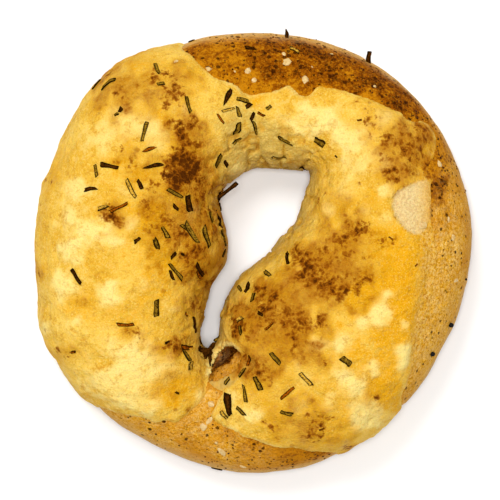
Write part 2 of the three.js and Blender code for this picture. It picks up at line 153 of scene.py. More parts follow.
# Where the cheese is brown and crisp, with a few spots of painted shade.
SCORCHED_AND_SHADED = [
    (42.6, 22.4, 0.9, 0.5), (41.4, 24.6, 0.8, 0.5), (44, 28.4, 0.9, 0.45), (39.6, 29.2, 0.8, 0.45),
    # (0.6, 21.6), (-1.6, 20.6), (-7.8, 16.2), (-8.6, 17.6), (-8.4, 15.4): painted shade by the
    # hole
    (37, 27, 0.8, 0.5), (38.2, 31.6, 0.7, 0.4), (33, 29, 0.7, 0.4), (0.6, 21.6, 1.2, 0.4),
    (-1.6, 20.6, 0.8, 0.4), (-7.8, 16.2, 0.8, 0.4), (46.6, 11.6, 0.8, 0.45),
    (47.2, 16.4, 0.8, 0.5), (46.3, 21.5, 1, 0.8), (-24.6, 45.6, 0.7, 0.6), (-23.2, 41.6, 0.7, 0.7),
    (-21.4, 40.2, 0.8, 0.7), (-20.6, 44.2, 0.6, 0.6), (-19, 36.6, 0.6, 0.5), (0.6, -31.2, 1, 0.6),
    (1.6, -29.6, 0.7, 0.5), (-1.6, -27.6, 0.7, 0.6), (-0.4, -29.4, 0.6, 0.4),
    (-8.6, 17.6, 0.6, 0.6), (-8.4, 15.4, 0.5, 0.5),
    # back left, down to the big patch
    (-24.4, 43.2, 1.2, 0.65), (-22.2, 43.9, 1, 0.5), (-20.2, 42, 1.3, 0.6),
    (-18.2, 40.7, 1.3, 0.65), (-19.6, 38.9, 1.2, 0.5), (-22, 37, 1, 0.5), (-20.6, 32.3, 1, 0.9),
    (-19, 31.9, 1.1, 0.9), (-16.2, 33, 1.2, 0.7), (-16.6, 31.1, 1, 0.7), (-18.6, 29.4, 1.2, 0.85),
    (-19, 27.8, 1, 0.6), (-17.3, 27.2, 1.1, 0.85), (-15.4, 26.8, 1.1, 0.8),
    (-19.7, 25.6, 1.2, 0.8), (-20.2, 23.7, 1.6, 1), (-21.4, 22, 1.3, 0.9),
    (-17.9, 23.3, 1.5, 0.95), (-15.4, 23.2, 1.3, 0.8), (-17.6, 21.4, 1.4, 0.9),
    (-15.8, 21.4, 1.4, 0.8), (-19.8, 20.6, 1.4, 0.7), (-23.1, 18.2, 1.4, 0.8),
    (-21.3, 17.7, 1.6, 0.9), (-19.3, 18.6, 1.6, 1), (-18.2, 17.6, 1.5, 0.9),
    (-19.7, 15.6, 1.2, 0.85), (-21.1, 16, 1.1, 0.7), (-16.2, 19.4, 1.8, 0.6),
    (-15.6, 17.2, 1.8, 0.5), (-13, 15.4, 1.4, 0.45), (-13.8, 22, 1.4, 0.4),
    (-14.4, 12.9, 1.2, 0.4),
    # left
    (-33.6, 25.8, 1, 0.65), (-31.4, 22.2, 1.8, 0.35), (-26, 16, 1.6, 0.4), (-36.2, 9.2, 2, 0.6),
    (-35, 7.4, 1.4, 0.4), (-26.8, 11.3, 1.8, 0.3), (-27.5, 5.8, 1.8, 0.3), (-22.6, 7.5, 1.2, 0.45),
    (-19, 3.4, 1.5, 0.8), (-17.8, 4.2, 1.4, 0.6), (-16, 0.4, 1.6, 0.65), (-13.9, 1.2, 1.4, 0.6),
    (-12.9, 9.6, 1.3, 0.5), (-11.4, 4.4, 1.2, 0.6), (-18.6, -1.6, 1.4, 0.5),
    (-15.4, -4.4, 1.8, 0.55), (-12.4, -7, 1.2, 0.5), (-17.2, -13.8, 1.6, 0.45),
    (-15.4, -16.6, 1.2, 0.35), (-22, -24, 1.7, 0.55), (-19.8, -26.2, 1.4, 0.35),
    (-30.5, -21.6, 1.5, 0.4), (-37, 43, 1.6, 0.3), (-33, 38.3, 0.9, 0.5), (-50.4, 25, 1.4, 0.35),
    (-51.8, 17, 1.3, 0.3), (-53.2, 11, 1.3, 0.35), (-54.6, -5.8, 1.6, 0.35),
    (-42.6, -11.6, 1.2, 0.4), (-46, -26.2, 1.2, 0.5), (-48.4, -24.5, 1, 0.4), (-14.6, -31, 2, 0.2),
    (-18, -42, 1, 0.35), (-33, -14.6, 1.4, 0.3), (-44.5, -30.5, 1.4, 0.2),
    # right of the hole
    (27.8, 5.1, 1.8, 0.65), (25.4, 3.4, 1.6, 0.5), (22.2, 1.8, 1.6, 0.6), (29.3, 5.8, 1, 0.5),
    (16, -4.6, 2, 0.9), (13.6, -2.4, 1.5, 0.6), (15.4, -7.4, 1.8, 0.7), (18.4, -8.6, 1.6, 0.75),
    (20.6, -9.8, 1.8, 0.8), (23.4, -10.6, 1.8, 0.8), (26.4, -10.4, 1.6, 0.7), (12, -5, 1.4, 0.4),
    (27.4, -7.6, 1.1, 0.6), (30.2, -7, 1.2, 0.5), (28.8, -2.2, 1.2, 0.5), (31.4, 0.4, 1, 0.5),
    (33.4, 2, 1.2, 0.45), (36.2, 1.4, 1, 0.4), (19.8, -1.6, 1.4, 0.4), (25.2, -1, 1.2, 0.35),
    (2, -11, 1.4, 0.6), (4, -12.2, 1.3, 0.5), (6.2, -13, 1.1, 0.8), (3.6, -15.8, 1.6, 0.85),
    (4.6, -17.4, 1.3, 0.6), (8.6, -17.4, 1.4, 0.5), (10.6, -18.8, 1.8, 0.6),
    (13.8, -19.6, 1.8, 0.65), (17, -18.8, 1.6, 0.55), (11.4, -21.6, 1.5, 0.5),
    (-2.6, -20.8, 1.8, 0.7), (-3.4, -18.4, 1.2, 0.5), (-0.2, -22.2, 1.2, 0.4),
    (10.2, -25.4, 1.1, 0.5), (3, -31, 1.6, 0.4), (5.4, -33.6, 1, 0.4), (16.2, -45.2, 2.4, 0.5),
    (19.6, -43.4, 1.4, 0.35), (6.4, -45.6, 1.3, 0.5), (3.4, -43.6, 1, 0.35),
    (24.2, -50.2, 1.2, 0.5), (31.2, -37.1, 1, 0.75), (9.2, -36, 1, 0.3), (18.4, -30, 1.2, 0.3),
    (34.6, -29.4, 1, 0.3),
    # back right
    (35, 28.2, 1.6, 0.45), (30.4, 33, 1.6, 0.4), (31.6, 30.4, 1.4, 0.35), (41.2, 27.6, 1.6, 0.6),
    (38.4, 25.4, 1.3, 0.6), (39.6, 23, 1.2, 0.6), (43.2, 24.8, 1, 0.5), (40.2, 20.6, 1.4, 0.5),
    (36, 19.2, 1.7, 0.5), (42, 30.4, 1.4, 0.35), (33.4, 23.6, 1.2, 0.4), (35.8, 22.2, 1, 0.5),
    (20, 13.6, 1.2, 0.45), (18.4, 12.4, 1, 0.4), (27, 37.6, 1.4, 0.35), (30, 35.6, 1.2, 0.4),
    (27.8, 17, 0.5, 0.9), (34.3, 17.3, 0.4, 0.9), (44.6, 19.2, 1.4, 0.4),
]

# Where the cheese is toasted brown, with a few spots of painted shade.
TOASTED_AND_SHADED = [
    (41, 27, 5, 0.6), (44, 31, 3, 0.55), (44.4, 24, 3, 0.6), (36.5, 30.5, 4, 0.4),
    # (0.8, 21.2) to (-3, 20.2) are painted shade along the lobe above the hole.
    (0.8, 21.2, 1.5, 0.9), (-8.2, 15.2, 1.2, 0.8), (-7, 17.2, 1, 0.75), (-5, 18.9, 1, 0.7),
    (-3, 20.2, 1, 0.75), (-31, 45, 7, 0.35), (-36, 38, 5, 0.3), (-2.3, -28.2, 1.6, 0.75),
    (-3.8, -31.4, 1.6, 0.5), (-1.2, -26.4, 2, 0.5), (-0.6, -30, 3, 0.6), (46.8, 9.6, 2.4, 0.75),
    (47.2, 14.6, 2.4, 0.8), (47.2, 5.6, 1.8, 0.6), (46.6, 19.6, 1.8, 0.7), (-28, 41, 6, 0.4),
    (-33, 36, 5, 0.35), (-20, -3, 6, 0.6), (-19, 8, 4, 0.5), (24, 8, 5, 0.3), (20, 1, 5, 0.4),
    (8, -10, 5, 0.5), (10, -16, 6, 0.5), (0, -17, 5, 0.5), (22, -4, 5, 0.4), (12, -44, 6, 0.3),
    (4, -38, 5, 0.25), (-19, 41, 5.5, 0.55), (-17, 29, 6, 0.6), (-18, 20, 7, 0.9),
    (-13.5, 19, 5, 0.6), (-30.5, 21.5, 5, 0.6), (-26.8, 12, 4, 0.7), (-27, 5, 4, 0.6),
    (-35.8, 8.6, 3.2, 0.7), (-16.5, 3.5, 7, 0.8), (-14.5, -5, 5, 0.7), (-17, -14.5, 4.5, 0.6),
    (-21.5, -24.8, 4, 0.7), (-30.5, -21.8, 3.2, 0.6), (-36, 42, 4.5, 0.35), (-51.5, 20, 5, 0.35),
    (-54.4, -5, 3, 0.5), (-43, -12, 2.6, 0.5), (-46.6, -26, 3, 0.4), (-20, -37, 5, 0.55),
    (-14, -33, 3, 0.3), (-12.6, 9.4, 4, 0.55), (26, 4, 5, 0.7), (15, -5, 5.5, 0.9),
    (22, -10, 6, 0.9), (29, -6, 5, 0.6), (4.5, -14.5, 6, 0.8), (13, -19.5, 6.5, 0.9),
    (-1.5, -20.5, 4.5, 0.7), (6, -26, 6, 0.6), (16.5, -44.5, 5.5, 0.55), (6, -44.5, 4, 0.4),
    (3.5, -32, 4.5, 0.5), (24, -49.5, 3.5, 0.5), (31, -36.5, 3, 0.5), (36, 24.5, 6, 0.4),
    (41, 27, 4, 0.4), (30, 33.5, 4, 0.3), (38, 19, 4, 0.6), (20.5, 12.5, 4, 0.35),
    (16, -28, 4.5, 0.45), (34, 1.5, 4, 0.4), (45.5, 22, 3, 0.5), (20, 22, 3, 0.2),
]

AMBER = [
    (38, -24, 7, 0.45), (42, -31, 5, 0.5), (44.6, -18, 4, 0.4), (-29, 43.5, 6, 0.5),
    (28, -30, 7, 0.45), (24, -39, 6, 0.4), (16, 14, 5, 0.3), (40, -4, 7, 0.9), (37, -9.5, 7, 0.9),
    (41.5, -14, 5.5, 0.7), (33, -12.5, 5, 0.6), (36, -21, 6, 0.6), (28, -13.5, 5, 0.6),
    (34, 5.5, 6, 0.5), (42.5, 1.5, 4.5, 0.7), (33, -34.5, 5, 0.6), (27, -25, 5, 0.45),
    (-21.5, -36, 5, 0.8), (-21, -40.5, 3, 0.5), (-26.5, 8, 5, 0.8), (-30.5, 19, 6, 0.6),
    (-24, -2, 5, 0.6), (-25.5, -10, 5, 0.6), (-31, -18.5, 5, 0.4), (-40.5, -15, 5, 0.4),
    (-23, 33.5, 3.5, 0.6), (-22, 47, 4, 0.2), (1.5, 39, 2.4, 0.7), (30, 14.5, 4, 0.5),
    (26, -44, 4, 0.4), (35, -39, 4, 0.5), (8, -48.5, 5, 0.4), (-33, -2, 5, 0.3),
    (-46, -14.5, 4, 0.3),
]

PALE = [
    (-9.8, -33.4, 0.9, 0.8), (-2.8, -29.8, 1.2, 0.4), (-4.6, 21.8, 2.6, 0.7), (-36, -35, 5, 0.5),
    (-28.5, -34.5, 4, 0.5), (-21, -31, 3, 0.4),
    # left
    (-44, 15, 3.6, 0.7), (-40.4, 4.2, 4.6, 0.9), (-36, 2.2, 3, 0.6), (-47, 8, 3, 0.7),
    (-45.5, 0.5, 3.4, 0.8), (-29.4, 33, 4.2, 0.6), (-34.5, 30.5, 3.6, 0.5), (-17.8, 36, 1.8, 0.7),
    (-16.8, 9.4, 2, 0.9), (-25.2, 30, 3.2, 0.8), (-38.4, 27.6, 3.4, 0.5), (-30.8, 7.2, 1.8, 0.8),
    (-36.4, -11.4, 3.2, 1), (-47.2, -9, 3.4, 0.8), (-44.5, -18.5, 2.6, 0.6),
    (-29.2, -26.6, 4.2, 0.9), (-33.5, -29.5, 4, 0.7), (-26.4, -41.2, 2.4, 0.9),
    (-31.8, -39, 2.8, 0.6), (-51, -19, 2.4, 0.7), (-13.6, -37.6, 1.8, 0.8),
    (-21.4, -14.6, 2.2, 0.6), (-37, -24, 3, 0.5), (-41, -33, 3, 0.4), (-29, -9, 2, 0.4),
    (-34, 50, 3.5, 0.35), (-26, 38.6, 2.4, 0.3), (-24.5, -31, 3, 0.5), (-49, 30, 4, 0.25),
    (-12.2, -20.6, 1.6, 0.4), (-33.4, 15, 2, 0.5), (-11.6, 27, 2.6, 0.3), (-12, 35, 2.6, 0.3),
    (-20.6, -46, 2.4, 0.4),
    # right
    (20.2, 33.6, 3.4, 1), (14.4, 35.8, 2.6, 0.7), (12, 31.2, 2.4, 0.8), (16.4, 31.6, 2.4, 0.6),
    (26.4, 28.2, 4.6, 0.8), (22.4, 29.2, 3, 0.7), (35, 33.2, 2.6, 0.9), (34, 22, 1.8, 0.6),
    (21, 9.8, 2.4, 0.6), (34.2, 14.6, 2, 0.8), (30, 22, 3, 0.5), (24.6, 20, 3, 0.4),
    (34, -11.6, 2, 0.8), (32.2, -16, 2.8, 0.9), (28, -18.4, 2.6, 0.8), (22.8, -23.4, 2.6, 0.9),
    (17.4, -24, 2.4, 0.8), (39.2, -26.6, 3.4, 1), (24, -32.4, 3, 0.9), (27, -35.4, 2.4, 0.8),
    (30.8, -30.2, 2.2, 0.7), (28.6, -42, 3.6, 1), (23, -49, 1.6, 0.6), (12, -30, 1.6, 0.6),
    (0.6, -42.4, 2.4, 1), (-4.4, -38, 2, 0.6), (12.4, -41, 2.4, 0.5), (20, -38, 2.6, 0.5),
    (44, -6.2, 2, 0.5), (39, -19, 2, 0.5), (43.4, -12, 1.6, 0.4), (15, -33, 2, 0.4),
    (35.8, -43, 2.2, 0.4), (13, -49.4, 2.2, 0.4), (24.6, 14.6, 2.6, 0.4), (38.6, 30.4, 1.8, 0.5),
    (9.4, 33.4, 2.2, 0.5), (-8.4, -43, 1.6, 0.6), (29, 9.6, 2.2, 0.5), (34.6, 7.4, 2, 0.5),
]

# Where the cheese is thin and greyish, and painted shade round the hole and down into it.
KHAKI_AND_SHADE = [
    (-29, 44, 7, 0.5), (0, 27, 7, 0.8), (9, 26.5, 6, 0.7), (-7, 26, 4.5, 0.6), (-5, 33.5, 5, 0.6),
    (16, 24.5, 4, 0.4), (21.5, -5.4, 3.4, 0.7), (13.4, -12.8, 3, 0.7), (25, -6.6, 2.4, 0.4),
    (1.8, -21.4, 2.4, 0.5), (-1.2, -14.2, 2.4, 0.5), (9, -10, 3.4, 0.4), (16, 4, 5, 0.4),
    (14, 10, 4, 0.4), (5, -4, 3, 0.4), (-8.6, 20, 3, 0.5), (-22, 12.4, 2, 0.3),
    (-1, -30.5, 3.4, 0.6), (3, -26.5, 3, 0.3), (-11, -14, 2, 0.4), (22, 17, 5, 0.3),
    (-47, -33, 4, 0.3),
]

# Where the cheese has sunk into the crust and shows its grain.
WORN = [
    (42.6, 30.6, 3.4, 0.75), (45.2, 27, 3.4, 0.9), (46, 22.6, 2.4, 0.8), (45.6, -24, 2.4, 0.5),
    (47, 1, 3, 0.7), (41, -38, 2.4, 0.6),
]

# How dark the bare crust is toasted, with painted shade in the crease below the hole's tip.
CRUST_TOAST_AND_SHADE = [
    (12, 55, 6, 0.5), (26, 50.5, 5, 0.5), (2, 55, 5, 0.35), (41, 40, 4, 0.8), (45, 35, 3, 0.6),
    (33, 46, 4, 0.6), (-2, -54, 5, 0.1), (36, 40.5, 4.5, 0.8), (30, 44.5, 5, 0.5),
    # (-11, -27.6), (-11.1, -30.2) and (-11.2, -32.6) are painted shade in that crease.
    (42, 35.5, 3, 0.7), (16, 52, 6, 0.4), (-11, -27.6, 1.5, 1.3), (-11.1, -30.2, 1.2, 1.2),
    (-11.2, -32.6, 0.8, 1), (-14, 51, 5, 0.3), (-6, 50, 7, 0.5), (4, 51, 6, 0.8),
    (12, 51.5, 6, 0.8), (20, 48.5, 6, 0.9), (27, 44.5, 6, 1), (33, 41, 5, 1.15), (38, 38, 4, 1),
    (5, 46.6, 3, 0.7), (0, 44.5, 3, 0.2), (18, 43.4, 4, 0.25), (48, 12, 2.8, 1),
    (48.4, 16.4, 2.6, 1), (48.6, 8, 2, 0.8), (49.2, 23, 3, 0.6), (48.4, 28, 2.6, 0.4),
    (52.6, 8, 2.4, 0.4), (51, -2, 4, 0.25), (9, -54, 5, 0.38), (17, -54.2, 4, 0.65),
    (24, -53.2, 4, 0.6), (1, -52, 5, 0.2), (-9, -49, 4, 0.25), (-16, -45.6, 3, 0.25),
]

# Where the bare crust stays pale and dry.
PALE_CRUST = [
    (50, 0, 9, 1), (50, -12, 9, 1), (49, -24, 9, 1), (45, -34, 8, 1), (53.5, 12, 5, 0.7),
    (53, 22, 4, 0.6), (-42, -42, 8, 0.9), (-32, -47, 7, 0.9), (-23, -50, 6, 0.8),
    (-14, -44, 5, 0.7), (-12, -38, 3, 0.9), (-6, -55, 5, 0.5), (38, -44, 6, 0.8),
    (-8, -52, 5, 0.55), (2, -54, 5, 0.4),
]

# Cut leaves too small to be solids of their own: x, y, heading in degrees, length, width, tone.
LEAF_FRAGMENTS = [
    (-40.4, 42.8, 58, 3.3, 0.9, "green"), (-23.6, 42.7, 10, 2, 0.9, "green"),
    (-1, 37.2, 30, 1.8, 1.1, "dark"), (-8.2, 33.8, -55, 3, 0.6, "rust"),
    (-6.3, 36.1, 15, 3.4, 0.8, "pale"), (-34, 36, 70, 1.4, 1, "dark"),
    (-35, 34.8, 20, 1.2, 0.8, "green"), (-4.4, 28.2, 35, 2.5, 0.9, "green"),
    (-6.9, 22.2, -50, 2, 1, "dark"), (-29, 16.7, -62, 2.6, 1, "dark"),
    (-38.4, 10.7, 15, 2.8, 1.2, "pale"), (-19.8, 10.9, -45, 2, 0.9, "dark"),
    (-8.6, 14.2, 80, 2.8, 0.8, "dark"), (-8.3, 11.2, -70, 2, 0.9, "dark"),
    (-10.8, 8.4, -60, 3, 0.9, "green"), (-29.7, 2.5, 40, 1.8, 1.1, "dark"),
    (-17.4, 5.4, -30, 3.4, 0.9, "green"), (-7.5, 3.2, -88, 4.4, 0.9, "green"),
    (-7.5, -1, 10, 2.2, 0.8, "green"), (-20.4, -1.5, 45, 2, 0.9, "dark"),
    (-18, -1.3, -30, 1.1, 0.7, "dark"), (-20.8, -6.6, -60, 2.8, 0.8, "dark"),
    (-13.9, -6.6, -45, 3.2, 0.7, "rust"), (-16, -30, 60, 2.4, 1.3, "pale"),
    (-19.4, -37, -30, 1, 0.6, "dark"), (-7.4, -42.8, -42, 2.4, 1.2, "pale"),
    (-6.5, -34.1, 45, 2.1, 0.9, "green"), (-2.6, -31.9, 60, 2.6, 1.2, "green"),
    (-46.2, -26.4, 30, 1.4, 0.8, "rust"), (-22, -23.9, 20, 1.3, 0.7, "dark"),
    (-9.2, -57, -15, 2.8, 0.7, "dark"), (-3.3, -10.2, -40, 3, 1, "green"),
    (-1.3, -9.8, 70, 2.5, 1, "dark"), (0.2, -12.3, 90, 2.2, 1.1, "green"),
    (2.1, -16.6, -20, 1.8, 0.9, "dark"), (4.3, -19.8, 37, 2.8, 0.7, "rust"),
    (-3.3, -18, 20, 1.9, 1.2, "pale"), (-3.1, -20.8, -45, 2.6, 1, "green"),
    (-0.8, -28.4, 62, 2.8, 0.8, "rust"), (6.8, 23.8, 0, 3.2, 1.2, "pale"),
    (13.3, 21.2, -50, 2.3, 0.8, "dark"), (4.2, 36.7, 35, 1.5, 0.9, "green"),
    (2.2, 34.9, -30, 2, 0.7, "rust"), (0.5, 31.5, -68, 3.8, 1, "green"),
    (0, 34.3, 65, 2.4, 0.9, "dark"), (-15.8, 54.1, 80, 1.4, 0.9, "green"),
    (-17, -16.8, -50, 1.6, 0.6, "rust"), (27.6, 33.4, 10, 1.2, 0.5, "rust"),
    (21.6, 24, -35, 0.8, 0.4, "dark"), (35.6, 2.8, -40, 1.4, 0.4, "rust"),
    (42.2, -4, 35, 1, 0.4, "rust"), (17.8, -46.4, 20, 1.3, 0.5, "rust"),
]
# Leaves that stand up out of the crust, base first, and lean outwards.
STANDING_LEAVES = [(8.9, 55.0, 96, 2.8, 1.1, "dark"), (30.1, 48.6, 84, 3.4, 1.2, "dark")]
# Leaves wedged level across the tip of the hole.
WEDGED_LEAVES = [(-13.7, -23.4, -72, 2.6, 0.6, "dark"), (-8.9, -22.9, 38, 3.0, 0.9, "green")]
# Charred lumps stuck in the tip of the hole: x, y, z, heading, length, width.
CHARRED_LUMPS = [
    (-12.9, -25.9, 28.4, -18, 2.3, 1.4), (-11.7, -26.3, 28.6, 20, 2.4, 1.8),
    (-10.5, -25, 28.6, 52, 2.6, 1.2), (-12, -27.4, 29.4, 70, 1.8, 1.2),
    (-11, -27.9, 29.6, -80, 2.2, 0.9), (-11.1, -26.9, 29, 40, 1.6, 1.4),
    (-11, -29.3, 30.4, -86, 1.8, 0.5), (-13.6, -25.2, 29.4, 40, 1, 0.6),
]

# Flakes and patches of dried salt too small to be solids of their own: x, y, length, width.
SALT_FRAGMENTS = [
    (0.4, 43.8, 1.5, 1.3), (8.1, 50.6, 1.3, 1.1), (50.6, 7.8, 1.8, 0.7), (-11.2, -44.3, 2.8, 1.2),
    (-8, -52.4, 3, 1.6), (-2.4, -56.3, 2, 0.9), (5, 56, 1.6, 0.7), (-19.8, 48.6, 1.2, 0.8),
    (52.6, -8, 1.8, 1), (20.5, 50.6, 0.9, 0.4), (15.4, 47.2, 0.7, 0.4), (-4.6, 46, 0.8, 0.5),
    (31.6, 42.2, 0.9, 0.7), (-9.4, -50, 1, 0.7),
]
# More seeds: x, y, radius.
MORE_SEEDS = [(55.2, -7.7, 0.35)]
# The headings, in degrees from +X, round which the bare crust has crumbs.
CRUMB_HEADINGS = (20, 25, 30, 35, 40, 45, 50, 55, 60, 70, 80, 90, 100, 260, 275, 290)

TONES = ("green", "dark", "rust", "pale")
SLOTS = {tone: "rosemary_charred" if tone == "dark" else f"rosemary_{tone}" for tone in TONES}
# Where the random draws of each kind start, so that each piece has its own.
FRAGMENT_DRAWS, STANDING_DRAWS, WEDGED_DRAWS, LUMP_DRAWS = 500, 700, 750, 800
FLAKE_DRAWS, SALT_BIT_DRAWS, CRUMB_DRAWS = 900, 950, 11
# Leaves whose ends are whole and pointed, not cut.
POINTED = ("rosemary_leaf_03", "rosemary_leaf_13", "rosemary_leaf_09")


# --------------------------------------------------------------------------------- noise and masks


def hashed(x, y, z, seed):
    """A fixed pseudo-random number from 0 to 1 for each lattice point."""
    n = (x * 73856093) ^ (y * 19349663) ^ (z * 83492791) ^ (seed * 7919)
    n = (n ^ (n >> 13)) * 1274126177
    n = n ^ (n >> 16)
    return (n & 0xFFFF) / 65535.0


def noise(points, size, seed=0):
    """Smooth noise from -1 to 1, with features about size millimetres across."""
    scaled = points / size
    cell = np.floor(scaled).astype(np.int64)
    part = scaled - cell
    part = part * part * (3 - 2 * part)
    total = np.zeros(len(points))
    for corner in itertools.product((0, 1), repeat=3):
        weight = np.prod(np.where(corner, part, 1 - part), axis=1)
        total += weight * hashed(*(cell + corner).T, seed)
    return total * 2 - 1


def fractal(points, size, seed=0, octaves=3):
    """Noise with finer layers on it, each half the size and half the height of the last."""
    return sum(noise(points, size / 2**i, seed + 17 * i) / 2**i for i in range(octaves))


def smoothstep(low, high, value):
    """Rises smoothly from 0 at low to 1 at high, which may also be the lower of the two."""
    t = np.clip((value - low) / (high - low), 0, 1)
    return t * t * (3 - 2 * t)


def curve_through(points, steps=4):
    """A closed smooth line through the points, as short straight pieces."""
    points = np.array(points, float)
    before, after, beyond = (np.roll(points, shift, axis=0) for shift in (1, -1, -2))
    line = []
    for t in np.arange(steps) / steps:
        line.append(
            0.5
            * (
                2 * points
                + (after - before) * t
                + (2 * before - 5 * points + 4 * after - beyond) * t**2
                + (3 * points - before - 3 * after + beyond) * t**3
            )
        )
    return np.stack(line, axis=1).reshape(-1, 2)


def inside_by(places, outline):
    """How far each (x, y) lies inside a closed outline, negative outside."""
    nearest = np.full(len(places), np.inf)
    crossings = np.zeros(len(places), int)
    x, y = places[:, 0], places[:, 1]
    for (ax, ay), (bx, by) in zip(outline, np.roll(outline, -1, axis=0)):
        dx, dy = bx - ax, by - ay
        t = np.clip(((x - ax) * dx + (y - ay) * dy) / max(dx * dx + dy * dy, 1e-12), 0, 1)
        nearest = np.minimum(nearest, (x - ax - t * dx) ** 2 + (y - ay - t * dy) ** 2)
        if ay != by:
            spans = (ay > y) != (by > y)
            crossings += spans & (x < dx * (y - ay) / dy + ax)
    return np.sqrt(nearest) * np.where(crossings % 2, 1, -1)


def polar(places):
    """Each point's heading in degrees and its distance from the middle, seen from above."""
    x, y = places[:, 0], places[:, 1]
    return np.degrees(np.arctan2(y, x)), np.hypot(x, y)


def spotted(points, rows, ragged=0.35, seed=0):
    """The strongest of the soft spots at each point. Their outlines are ragged, not round."""
    wander = np.stack([fractal(points, 3.2, seed + i, 2) for i in (1, 2)], axis=1)
    found = np.zeros(len(points))
    for x, y, radius, strength in rows:
        near = np.abs(points[:, 0] - x) + np.abs(points[:, 1] - y) < 4 * radius
        offset = points[near, :2] - (x, y) + wander[near] * radius * ragged * 2
        soft = strength * np.exp(-((offset**2).sum(axis=1)) / radius**2)
        found[near] = 1 - (1 - found[near]) * (1 - soft)
    return found


# -------------------------------------------------------------------------------- the dough's skin


def neighbour_mean(places, edges, count):
    """The mean of the places of each vertex's neighbours."""
    mean = np.empty_like(places)
    for axis in range(3):
        column = places[:, axis]
        mean[:, axis] = np.bincount(edges[:, 0], column[edges[:, 1]], len(places))
        mean[:, axis] += np.bincount(edges[:, 1], column[edges[:, 0]], len(places))
    return mean / count[:, None]


def outward(places, faces):
    """The outward normal at each vertex."""
    across = places[faces[:, 2]] - places[faces[:, 0]]
    along = places[faces[:, 3]] - places[faces[:, 1]]
    normal = np.cross(across, along)
    total = np.zeros_like(places)
    for corner in range(4):
        for axis in range(3):
            total[:, axis] += np.bincount(faces[:, corner], normal[:, axis], len(places))
    return total / np.maximum(np.linalg.norm(total, axis=1, keepdims=True), 1e-12)


def read(items, name, width, kind):
    """One property of all of a mesh's items, as rows of so many numbers."""
    values = np.empty(len(items) * width, kind)
    items.foreach_get(name, values)
    return values.reshape(-1, width)


class Skin:
    """The dough's surface as an even quad mesh with the solid's facets smoothed away."""

    def __init__(self, node, pitch):
        copy = bpy.data.objects.new("skin", frame["nodes"][node].data.copy())
        bpy.context.scene.collection.objects.link(copy)
        remesh = copy.modifiers.new("even", "REMESH")
        remesh.mode = "VOXEL"
        remesh.voxel_size = pitch
        depsgraph = bpy.context.evaluated_depsgraph_get()
        mesh = bpy.data.meshes.new_from_object(copy.evaluated_get(depsgraph))
        bpy.data.objects.remove(copy)
        if len(mesh.loops) != 4 * len(mesh.polygons):
            raise RuntimeError("the even skin isn't all quads")
        self.edges = read(mesh.edges, "vertices", 2, int)
        self.faces = read(mesh.loops, "vertex_index", 1, int).reshape(-1, 4)
        places = read(mesh.vertices, "co", 3, float) / MM
        bpy.data.meshes.remove(mesh)
        self.places = self.smoothed(places)
        self.normals = outward(self.places, self.faces)

    def smoothed(self, places):
        """Smooths without shrinking, as each step in is followed by one out, on a flat base."""
        count = np.bincount(self.edges.ravel(), minlength=len(places)).astype(float)
        base = places[:, 2] < BASE_TOP
        for step in SMOOTHING_STEPS * SMOOTHING_ROUNDS:
            places = places + step * (neighbour_mean(places, self.edges, count) - places)
            places[base, 2] = np.clip(places[base, 2], 0, BASE_TOP)
        places[:, 2] = np.maximum(places[:, 2], 0)
        return places


# What is made once and then shared: the dough's skin, and the surface as a tree.
_made = {}


def dough_skin():
    """The dough's skin, risen unevenly. The crust and the cheese share it."""
    if "skin" not in _made:
        skin = Skin("bread_ring", bpy.context.scene.bagel_crust.mesh_pitch)
        rise = 0.4 * fractal(skin.places, 13, 3, 2) + 0.13 * fractal(skin.places, 4, 5, 2)
        rise *= smoothstep(0.3, 7, skin.places[:, 2])
        places = skin.places + skin.normals * rise[:, None]
        heading, away = polar(places)
        push = np.interp(heading, np.arange(0, 360, 5), BULGE, period=360)
        push *= smoothstep(42, 53, away) * smoothstep(0.3, 7, places[:, 2])
        places[:, :2] *= (1 + push / away)[:, None]
        skin.places, skin.normals = places, outward(places, skin.faces)
        _made["skin"] = skin
    return _made["skin"]


# ------------------------------------------------------------------------------------- mesh making


def mesh_object(name, places, faces, masks=None, smooth=True):
    """A linked object from places in millimetres, with named masks on its vertices."""
    mesh = bpy.data.meshes.new(name)
    mesh.from_pydata((np.asarray(places) * MM).tolist(), [], [list(map(int, f)) for f in faces])
    mesh.validate()
    for mask, values in (masks or {}).items():
        layer = mesh.attributes.new(mask, "FLOAT", "POINT")
        layer.data.foreach_set("value", np.asarray(values, np.float32))
    if smooth:
        mesh.shade_smooth()
    else:
        mesh.shade_flat()
    mesh.update()
    made = bpy.data.objects.new(name, mesh)
    bpy.context.scene.collection.objects.link(made)
    return made


def hand_over(piece, slot, material, *nodes):
    """Gives a piece its finish and its place in the part, instead of the solids it replaces."""
    piece.data.materials.clear()
    piece.data.materials.append(material)
    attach(piece, "root")
    if nodes:
        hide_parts(*nodes)


def tree():
    """What the toppings rest on: the crust and the cheese as one tree, in millimetres."""
    if "tree" not in _made:
        places, faces = [], []
        for name in ("crust", "cheese_layer"):
            mesh = bpy.data.objects[name].data
            start = len(places)
            places += [tuple(v.co / MM) for v in mesh.vertices]
            faces += [[start + i for i in face.vertices] for face in mesh.polygons]
        _made["tree"] = BVHTree.FromPolygons(places, faces)
    return _made["tree"]


# --------------------------------------------------------------------------------- material making


